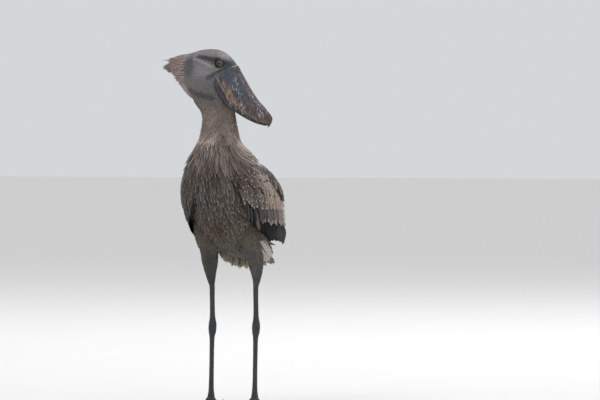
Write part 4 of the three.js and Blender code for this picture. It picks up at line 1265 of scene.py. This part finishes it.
class BodyCoatOperator(bpy.types.Operator):
    """Neck, breast, belly, back and thigh feathers, and the loose ones under the tail"""
    bl_idname = "shoebill.body_coat"
    bl_label = "Body coat"

    def execute(self, context):
        soft = feather_material("belly_finish", 0.08, 0.4, 0.05, 0.08, 40.0, colours().fringe, 0.85)
        finishes = {
            "coat_neck": feather_material("neck_finish", 0.08, 0.3, 0.04, 0.1, 14.0, colours().fringe, 0.85),
            "coat_breast": feather_material("breast_finish", 0.55, 0.35, 0.4, 0.5, 46.0, colours().fringe),
            "coat_belly": soft,
        }
        regions = (
            ("coat_neck", (0.735, 0.995), 4.2, 3.4, 21),
            ("coat_breast", (0.43, 0.79), 10.5, 8.4, 22),
            ("coat_belly", (0.03, 0.47), 8.0, 7.0, 23),
        )
        for name, span, step, pitch, seed in regions:
            rng = np.random.default_rng(seed)
            coat = Feathers(name)
            t, turn = rows_on(trunk, span, step, pitch, rng)
            depth = coat_depth(t)
            keep = shows(SKIN["tree"], trunk(t, turn, -depth), 7.0)
            t, turn, depth = t[keep], turn[keep], depth[keep]
            full = np.interp(t, [0.05, 0.3, 0.45, 0.6, 0.68, 0.75, 0.78, 1.0], [32, 36, 46, 52, 40, 25, 18, 13])
            full = full * sizes().breast_length / 50
            width = full * np.interp(t, [0.1, 0.35, 0.5, 0.7, 0.78, 1.0], [0.36, 0.34, 0.25, 0.27, 0.36, 0.36])
            lift = 0.95 * depth
            shape = {"coat_neck": PLUSH, "coat_breast": LANCE}.get(name, FLUFF)
            mottle = 0.13 if name == "coat_breast" else 0.045
            sway = np.where(t < 0.62, np.sign(turn) * smooth(0.5, 1.0, np.abs(turn)) * 0.25, 0.0)
            lay(coat, trunk, t, turn, -1, shape, full, width, 0.5, depth, lift, rng, cup=0.2,
                twist=0.12 if name == "coat_breast" else 0.05, mottle=mottle, sway=sway)
            coat.build("plumage", finishes[name])
        self.cape()
        self.back()
        for word, side in SIDES:
            rng = np.random.default_rng(31 + side)
            coat = Feathers(f"coat_thigh_{word}")
            form = thigh(side)
            t, turn = rows_on(form, (0.02, 0.985), 6.0, 5.0, rng)
            keep = shows(SKIN["tree"], form(t, turn, -3.0), 5.0)
            t, turn = t[keep], turn[keep]
            full = np.interp(t, [0.1, 0.6, 1.0], [26, 20, 12])
            lay(coat, form, t, turn, 1, FLUFF, full, full * 0.36, 0.45, 3.0, 2.2, rng, cup=0.2, mottle=0.07)
            coat.build("plumage", soft)
            coat = Feathers(f"coat_flank_{word}")
            t, turn = rows_on(flank(side), (0.02, 0.9), 8.5, 7.5, rng)
            keep = shows(SKIN["tree"], flank(side)(t, turn, -7.0), 5.0)
            t, turn = t[keep], turn[keep]
            lay(coat, flank(side), t, turn, 1, FLUFF, 36, 12, 0.5, 7.0, 6.5, rng, cup=0.2, mottle=0.06)
            coat.build("plumage", soft)
        self.loose()
        return {"FINISHED"}

    def cape(self):
        """Feathers from the sides of the breast, swept back over the front edge of each wing, the highest ones
        lightened as a painted highlight.
        """
        cape = Feathers("coat_cape")
        for side in (1, -1):
            rng = np.random.default_rng(51 + side)
            t, turn = rows_on(trunk, (0.47, 0.76), 12.0, 10.0, rng)
            keep = (turn * side > 0.75) & (turn * side < 2.3)
            t, turn = t[keep], turn[keep]
            depth = coat_depth(t)
            middle = smooth(0.75, 1.15, turn * side) * (1 - smooth(1.7, 2.3, turn * side))
            rise = depth + 15 * middle * (1 - smooth(0.66, 0.76, t))
            # Painted highlight: feathers high on the shoulder take their colour from 55 mm higher up and are made up to
            # 55% lighter, standing in for the light from behind.
            above = smooth(1.15, 1.5, turn * side)
            seen_at = trunk(t - 0.035, turn)
            seen_at[:, 2] += 55 * above
            # The tint below carries that painted highlight.
            lay(cape, trunk, t, turn, -1, LANCE, 50, 15, 0.5, depth - rise * 0.4, rise * 0.6, rng,
                sway=side * 0.35, cup=0.2, tint=plumage(seen_at) * (1 + 0.55 * above)[:, None], twist=0.1, mottle=0.15)
        finish = feather_material("breast_finish", 0.55, 0.35, 0.4, 0.5, 46.0, colours().fringe)
        cape.build("plumage", finish)

    def back(self):
        """Overlapping feathers on the lower back, between the wings, laid over the skin."""
        rng = np.random.default_rng(55)
        coat = Feathers("coat_back")
        stations = np.asarray(COVERT[0])
        shafts, facing, maps = [], [], []
        for j, y in enumerate(np.arange(-70, 262, 11.0)):
            for x in np.arange(-84, 84.1, 12.0) + (6.0 if j % 2 else 0.0) + rng.uniform(-2, 2, 15):
                reach = y + rng.uniform(34, 44) * stations
                over = np.stack([x + 0 * reach, reach, np.full(len(reach), 900.0)], axis=1)
                hits = [SKIN["tree"].ray_cast(Vector(point), Vector((0, 0, -1))) for point in place(over)]
                reached = sum(hit[0] is not None and hit[1].z > 0.2 for hit in hits)
                if reached < 4 or any(hit[0] is None or hit[1].z < 0.2 for hit in hits[:4]):
                    continue
                level = over.copy()
                level[:reached] = unplace(np.array([hit[0] for hit in hits[:reached]]))
                fall = (level[3, 2] - level[0, 2]) / (level[3, 1] - level[0, 1])
                level[reached:, 2] = level[reached - 1, 2] + fall * (reach[reached:] - reach[reached - 1])
                normal = np.array([hits[min(k, reached - 1)][1] for k in range(len(hits))])
                level[:, 2] = np.maximum.accumulate(level[::-1, 2])[::-1]
                rise = -2.0 + 8.0 * np.minimum(1.6 * stations, 1)
                shafts.append(level + normal * rise[:, None])
                facing.append(normal + rng.normal(0, 0.06, 3))
                maps.append([x / 190 + 0.5, y / 330 + 0.24])
        shafts = np.array(shafts)
        tint = vary(plumage(shafts[:, 3]), rng, 0.12)
        coat.add(shafts, unit(np.array(facing)), rng.uniform(17, 22, len(tint)), 0.6, COVERT, maps, tint, 0.15)
        coat.build("plumage", feather_material("back_finish", 0.45, 0.4, 0.4, 0.6, 34.0, colours().fringe))

    def loose(self):
        """The ragged plumes under the tail and the pale tufts behind the thighs."""
        tones = colours()
        finish = feather_material("plume_finish", 0.12, 0.25, 0.3, 0.6, 30.0, tones.tuft, 0.85)
        rng = np.random.default_rng(41)
        plumes = Feathers("coat_undertail")
        count = 620
        y = rng.uniform(84, 186, count)
        across = rng.uniform(-1, 1, count)
        spread = np.interp(y, [84, 150, 186], [82, 70, 46])
        lowest = np.interp(y, [84, 146, 186], [426, 408, 422]) + rng.uniform(0, 1, count) ** 1.5 * 60
        root = np.stack([across * spread * 0.9, y - 14, lowest + rng.uniform(40, 56, count)], axis=1)
        tip = np.stack([across * spread, y + rng.uniform(6, 26, count), lowest + 26 * across**2], axis=1)
        tip[:, :2] += rng.normal(0, 9, (count, 2))
        stations = np.asarray(FLUFF[0])
        shafts = root[:, None] + (tip - root)[:, None] * stations[None, :, None]
        shafts += np.sin(stations * math.pi)[None, :, None] * rng.normal(0, 4, (count, 1, 3))
        facing = unit(np.stack([0.3 * across, -np.ones(count), np.full(count, -0.4)], axis=1))
        facing = unit(facing + rng.normal(0, 0.25, (count, 3)))[:, None].repeat(6, axis=1)
        shade = rng.uniform(0, 1, count)[:, None]
        tint = np.array(tones.undertail) * (1 - shade) + np.array(tones.belly) * shade
        maps = np.stack([across * 0.45 + 0.5, (y - 80) / 120], axis=1)
        plumes.add(shafts, facing, rng.uniform(9, 15, count), 0.5, FLUFF, maps, vary(tint, rng, 0.12), 0.15)
        for side in (1, -1):
            tuft = 84
            place_in = rng.uniform(0, 1, (tuft, 3))
            tip = np.array([80, 52, 442]) + place_in * np.array([26, 22, 30])
            tip[:, 2] += 16 * (place_in[:, 0] - 0.5)
            root = tip + np.array([-22, -56, 62]) * rng.uniform(0.85, 1.1, (tuft, 1))
            shafts = root[:, None] + (tip - root)[:, None] * stations[None, :, None]
            shafts[..., 2] -= np.sin(stations * math.pi) * 4
            shafts[..., 0] *= side
            facing = unit(np.array([side * 0.75, -0.6, 0.3]) + rng.normal(0, 0.12, (tuft, 3)))
            facing = facing[:, None].repeat(6, axis=1)
            maps = place_in[:, :2] * 0.2 + np.array([0.02 if side > 0 else 0.78, 0.78])
            tint = np.tile(np.array(tones.tuft), (tuft, 1))
            plumes.add(shafts, facing, rng.uniform(9, 14, tuft), 0.5, FLUFF, maps, vary(tint, rng, 0.08), 0.15)
        plumes.build("plumage", finish)


# Rows of wing feathers: kind, count, row of WING at the first and last tip, heights of the first and last
# tip or else shares down the wing, steps back to the root in rows and share, lift, width, and the
# colours at the first and last.
WING_ROWS = [
    ("flight", 26, 1.55, 6.95, (512, 505), None, 1.3, 0.3, 1.5, 29, "flight", "flight"),
    ("great", 30, 1.05, 5.4, (572, 545), None, 0.9, 0.26, 4.0, 19, "long_covert", "long_covert_rear"),
    ("middle", 36, 0.8, 4.7, (618, 590), None, 0.6, 0.2, 6.0, 14, "covert_front", "covert"),
    ("small", 34, 0.62, 4.3, (638, 612), None, 0.45, 0.15, 6.5, 13, "covert_front", "covert"),
    ("small", 32, 0.48, 3.9, (658, 636), None, 0.4, 0.14, 6.8, 13, "covert_front", "covert"),
    ("small", 30, 0.36, 3.5, (678, 660), None, 0.4, 0.13, 6.8, 13, "breast", "covert"),
    ("small", 28, 0.26, 3.0, (698, 684), None, 0.36, 0.13, 6.4, 13, "breast", "covert"),
    ("small", 24, 0.18, 2.4, (714, 706), None, 0.34, 0.13, 5.6, 13, "breast", "covert_front"),
    ("small", 18, 0.1, 1.8, (730, 726), None, 0.3, 0.12, 4.8, 13, "breast_high", "shoulder"),
    ("shoulder", 17, 1.35, 6.75, None, (0.24, 0.4), 0.9, 0.3, 13.0, 34, "shoulder_dark", "flight"),
    ("shoulder", 18, 1.15, 6.2, None, (0.17, 0.31), 0.7, 0.24, 12.0, 29, "shoulder_dark", "long_covert"),
    ("shoulder", 18, 1.0, 5.6, None, (0.1, 0.21), 0.55, 0.18, 10.0, 25, "shoulder", "shoulder"),
    # The two highest shoulder rows start from the painted highlight colour.
    ("shoulder", 22, 0.5, 5.0, None, (0.05, 0.1), 0.5, 0.14, 5.0, 20, "shoulder_top_highlight", "shoulder"),
    ("shoulder", 22, 0.4, 4.6, None, (-0.02, 0.02), 0.5, 0.08, 3.5, 20, "shoulder_top_highlight", "shoulder"),
]


class WingsOperator(bpy.types.Operator):
    """Folded wings: flight feathers under tiers of coverts and the shoulder feathers"""
    bl_idname = "shoebill.wings"
    bl_label = "Wings"

    def execute(self, context):
        tones = colours()
        # Painted shade: the right wing's coverts get pale fringes at half strength, a darker copy of the left wing's
        # finish.
        shaded = np.array(tones.fringe) * 0.5
        covers_finish = {
            "left": feather_material("covert_finish", 0.5, 0.4, 0.6, 0.8, 34.0, tones.fringe),
            "right": feather_material("covert_right_finish", 0.5, 0.4, 0.6, 0.8, 34.0, shaded),
        }
        great = feather_material("great_covert_finish", 0.4, 0.5, 0.22, 0.85, 60.0, tones.fringe)
        vane = feather_material("flight_finish", 0.3, 0.05, 0.25, 0.2, 150.0, tones.long_covert, 0.65, 0.0, 0.15)
        for word, side in SIDES:
            covers, flights = Feathers(f"wing_coverts_{word}"), Feathers(f"wing_flights_{word}")
            greats = Feathers(f"wing_great_coverts_{word}")
            for index, row in enumerate(WING_ROWS):
                rng = np.random.default_rng(60 + index * 2 + (side > 0))
                target = {"flight": flights, "great": greats}.get(row[0], covers)
                self.tier(target, side, row, rng)
            covers.build("plumage", covers_finish[word])
            greats.build("plumage", great)
            flights.build("flight", vane)
        return {"FINISHED"}

    def tier(self, feathers, side, row, rng):
        name, count, first, last, heights, shares_at, back, rise, lift, width, near, far = row
        tones = colours()
        shape = {"flight": FLIGHT, "great": POINTED}.get(name, COVERT)
        stations = np.asarray(shape[0])
        order = np.linspace(0, 1, count)
        tip_row = np.maximum(first + (last - first) * order + rng.normal(0, 0.05, count), 0.08)
        if heights:
            level = heights[0] + (heights[1] - heights[0]) * order + rng.normal(0, 4, count)
            upper, lower = (wing_face(side, tip_row, tip_row * 0 + end)[:, 2] for end in (0, 1))
            share = np.minimum((upper - level) / (upper - lower), 1.03)
        else:
            share = shares_at[0] + (shares_at[1] - shares_at[0]) * smooth(0, 0.35, order)
            share = share + rng.normal(0, 0.012, count)
        rows = np.maximum(tip_row[:, None] - back * (1 - stations), 0.02)
        shares = share[:, None] - rise * (1 - stations)
        out = wing_facing(side, rows, shares)
        lift = lift * (0.4 + 0.6 * smooth(0, 0.3, order))[:, None]
        height = -8 + (lift + 8) * np.minimum(1.9 * stations, 1)
        shafts = wing_face(side, rows, shares) + out * (height + 0 * rows)[..., None]
        shafts = on_side(side, shafts, shares)
        out[..., 0] *= side
        beside = np.cross(unit(np.gradient(shafts, axis=1)), out)
        facing = unit(out + side * 0.14 * beside + rng.normal(0, 0.03, (count, 1, 1)) * beside)
        change = smooth(0.1, 0.5, order)[:, None]
        tint = np.array(getattr(tones, near)) * (1 - change) + np.array(getattr(tones, far)) * change
        # Painted shade: every feather of the right wing is half as bright as its twin on the left.
        if side < 0:
            tint = tint * 0.5
        tint = vary(tint, rng, 0.06 if name == "flight" else 0.12)
        if name == "great":
            pale = np.abs(tip_row - 4.9) < 0.09
            tint[pale] = np.array(tones.tuft)
        if name == "flight":
            tint[2] = np.array(tones.long_covert_rear)
        maps = np.stack([tip_row / 8 + 0.05, np.clip(share, 0, 1) * 0.9 + 0.04], axis=1)
        widths = width * rng.uniform(0.85, 1.15, count) * (0.6 + 0.4 * smooth(0, 0.3, order))
        thick = 1.0 if name == "flight" else 0.7
        feathers.add(shafts, facing, widths, thick, shape, maps, tint, 0.08)


class TailOperator(bpy.types.Operator):
    """Tail feathers and the coverts over their roots"""
    bl_idname = "shoebill.tail"
    bl_label = "Tail"

    def execute(self, context):
        tones = colours()
        vane = feather_material("flight_finish", 0.3, 0.05, 0.25, 0.2, 150.0, tones.long_covert, 0.65, 0.0, 0.15)
        rng = np.random.default_rng(71)
        tail = Feathers("tail_feathers")
        count = 12
        order = np.arange(count) - (count - 1) / 2
        place_in = order / order.max()
        stations = np.asarray(FLIGHT[0])
        t = (0.08 + 0.92 * stations)[None] * (1 - 0.06 * place_in**2)[:, None]
        y, z, wide, thick = np.moveaxis(along(TAIL, t), -1, 0)
        drop = 2.0 * (np.abs(order) + 0.5 * (order > 0))
        x = place_in[:, None] * (wide - 9) * (0.4 + 0.6 * stations)
        shafts = np.stack([x, y, z + 3 - drop[:, None]], axis=-1)
        facing = np.tile(UP, (count, len(stations), 1))
        maps = np.stack([place_in * 0.4 + 0.5, np.full(count, 0.3)], axis=1)
        tint = np.tile(np.array(tones.flight), (count, 1))
        tail.add(shafts, facing, np.full(count, 22.0), 0.9, FLIGHT, maps, vary(tint, rng, 0.06), 0.05)
        tail.build("flight", vane)
        covers = Feathers("tail_coverts")
        for level, (amount, reach, start) in enumerate(((13, 74, 0.24), (13, 60, 0.1), (11, 50, 0.0))):
            place_in = np.linspace(-1, 1, amount) + rng.normal(0, 0.04, amount)
            stations = np.asarray(COVERT[0])
            y = 150 + start * 200 + reach * stations[None, :] + 0 * place_in[:, None]
            rest = along(TAIL, (y - 176) / 169)
            x = place_in[:, None] * (rest[..., 2] - 4) * (0.85 + 0.15 * stations)
            over = rest[..., 1] + 9 + 4 * level - 9 * place_in[:, None] ** 2 - 6 * (1 - stations) ** 2
            shafts = np.stack([x, y, over], axis=-1)
            facing = unit(np.stack([0.5 * place_in, 0 * place_in, 1 + 0 * place_in], axis=1))[:, None].repeat(7, axis=1)
            tint = np.tile(np.array(tones.back), (amount, 1))
            maps = np.stack([place_in * 0.4 + 0.5, np.full(amount, 0.2 * level + 0.4)], axis=1)
            covers.add(shafts, facing, np.full(amount, 19.0), 0.6, COVERT, maps, vary(tint, rng), 0.12)
        covers.build("plumage", feather_material("covert_finish", 0.5, 0.4, 0.6, 0.8, 34.0, tones.fringe))
        return {"FINISHED"}


CAMERA_TURN = math.radians(18)  # the view is from ahead, this far to the bird's left
CAMERA_FAR = 15500
CAMERA_HEIGHT = 934.6
AIM = (204.6, 633.9)  # the picture's centre, across the view and above the floor
LENS = 300


class StageOperator(bpy.types.Operator):
    """Plain pale floor, soft studio light and the camera"""
    bl_idname = "shoebill.stage"
    bl_label = "Stage"

    def execute(self, context):
        deselect()
        bpy.ops.mesh.primitive_plane_add(size=90)
        floor = bpy.context.object
        floor.name = floor.data.name = "floor"
        material, graph, shader = new_material("floor_paint", Roughness=0.9)
        grain = graph.noise(graph.node("ShaderNodeTexCoord").outputs["Object"], 3.0, 2.0)
        shade = tuple(c * 0.96 for c in colours().floor)
        graph.feed(shader.inputs["Base Color"], graph.mix(grain, shade, colours().floor))
        floor.data.materials.append(material)
        world = bpy.data.worlds.new("studio")
        world.use_nodes = True
        graph = Graph(world.node_tree)
        split = graph.node("ShaderNodeSeparateXYZ")
        graph.feed(split.inputs[0], graph.node("ShaderNodeTexCoord").outputs["Generated"])
        sky = graph.mix(graph.span(split.outputs[2], 0.03, 0.3), (0.66, 0.68, 0.7), (0.84, 0.84, 0.84))
        background = world.node_tree.nodes["Background"]
        graph.feed(background.inputs["Color"], sky)
        background.inputs["Strength"].default_value = 1.0
        context.scene.world = world
        context.scene.view_settings.view_transform = "Standard"
        middle = place([0, -60, 640])
        for name, size, power, spot_at in (
            ("key", 4.5, 130, (-2.4, -5.2, 6.8)),
            ("fill", 4.0, 40, (6.0, -4.4, 3.6)),
            ("rim", 3.2, 340, (0.9, 5.5, 6.5)),
        ):
            deselect()
            bpy.ops.object.light_add(type="AREA", location=tuple(middle + np.array(spot_at)))
            light = bpy.context.object
            light.name = light.data.name = name
            light.data.size = size
            light.data.energy = power
            light.rotation_euler = (-Vector(spot_at)).to_track_quat("-Z", "Y").to_euler()
        across = np.array([math.cos(CAMERA_TURN), math.sin(CAMERA_TURN), 0])
        towards = np.array([math.sin(CAMERA_TURN), -math.cos(CAMERA_TURN), 0])
        stand = place(towards * CAMERA_FAR + np.array([0, 0, CAMERA_HEIGHT]))
        aim = place(across * AIM[0] + np.array([0, 0, AIM[1]]))
        deselect()
        bpy.ops.object.camera_add(location=tuple(stand))
        camera = bpy.context.object
        camera.data.lens = LENS
        camera.data.sensor_width = 36
        camera.data.clip_end = 200
        camera.rotation_euler = Vector(aim - stand).to_track_quat("-Z", "Y").to_euler()
        context.scene.camera = camera
        return {"FINISHED"}


class ShoebillPanel(bpy.types.Panel):
    """Lists the pieces of the bird"""
    bl_idname = "VIEW3D_PT_shoebill"
    bl_label = "Shoebill"
    bl_space_type = "VIEW_3D"
    bl_region_type = "UI"
    bl_category = "Shoebill"

    def draw(self, context):
        for operator in OPERATORS:
            self.layout.operator(operator.bl_idname)
        for group in (context.scene.shoebill_sizes, context.scene.shoebill_colours):
            for name in group.bl_rna.properties.keys():
                if name not in ("rna_type", "name"):
                    self.layout.prop(group, name)


OPERATORS = (
    SkinOperator,
    BillOperator,
    EyesOperator,
    LegsOperator,
    HeadCoatOperator,
    BodyCoatOperator,
    WingsOperator,
    TailOperator,
    StageOperator,
)
CLASSES = (ShoebillSizes, ShoebillColours, *OPERATORS, ShoebillPanel)


def register():
    for item in CLASSES:
        bpy.utils.register_class(item)
    bpy.types.Scene.shoebill_sizes = PointerProperty(type=ShoebillSizes)
    bpy.types.Scene.shoebill_colours = PointerProperty(type=ShoebillColours)


def unregister():
    del bpy.types.Scene.shoebill_colours
    del bpy.types.Scene.shoebill_sizes
    for item in reversed(CLASSES):
        bpy.utils.unregister_class(item)


def main():
    register()
    bpy.ops.shoebill.skin()
    bpy.ops.shoebill.bill()
    bpy.ops.shoebill.eyes()
    bpy.ops.shoebill.legs()
    bpy.ops.shoebill.head_coat()
    bpy.ops.shoebill.body_coat()
    bpy.ops.shoebill.wings()
    bpy.ops.shoebill.tail()
    bpy.ops.shoebill.stage()


if __name__ == "__main__":
    main()
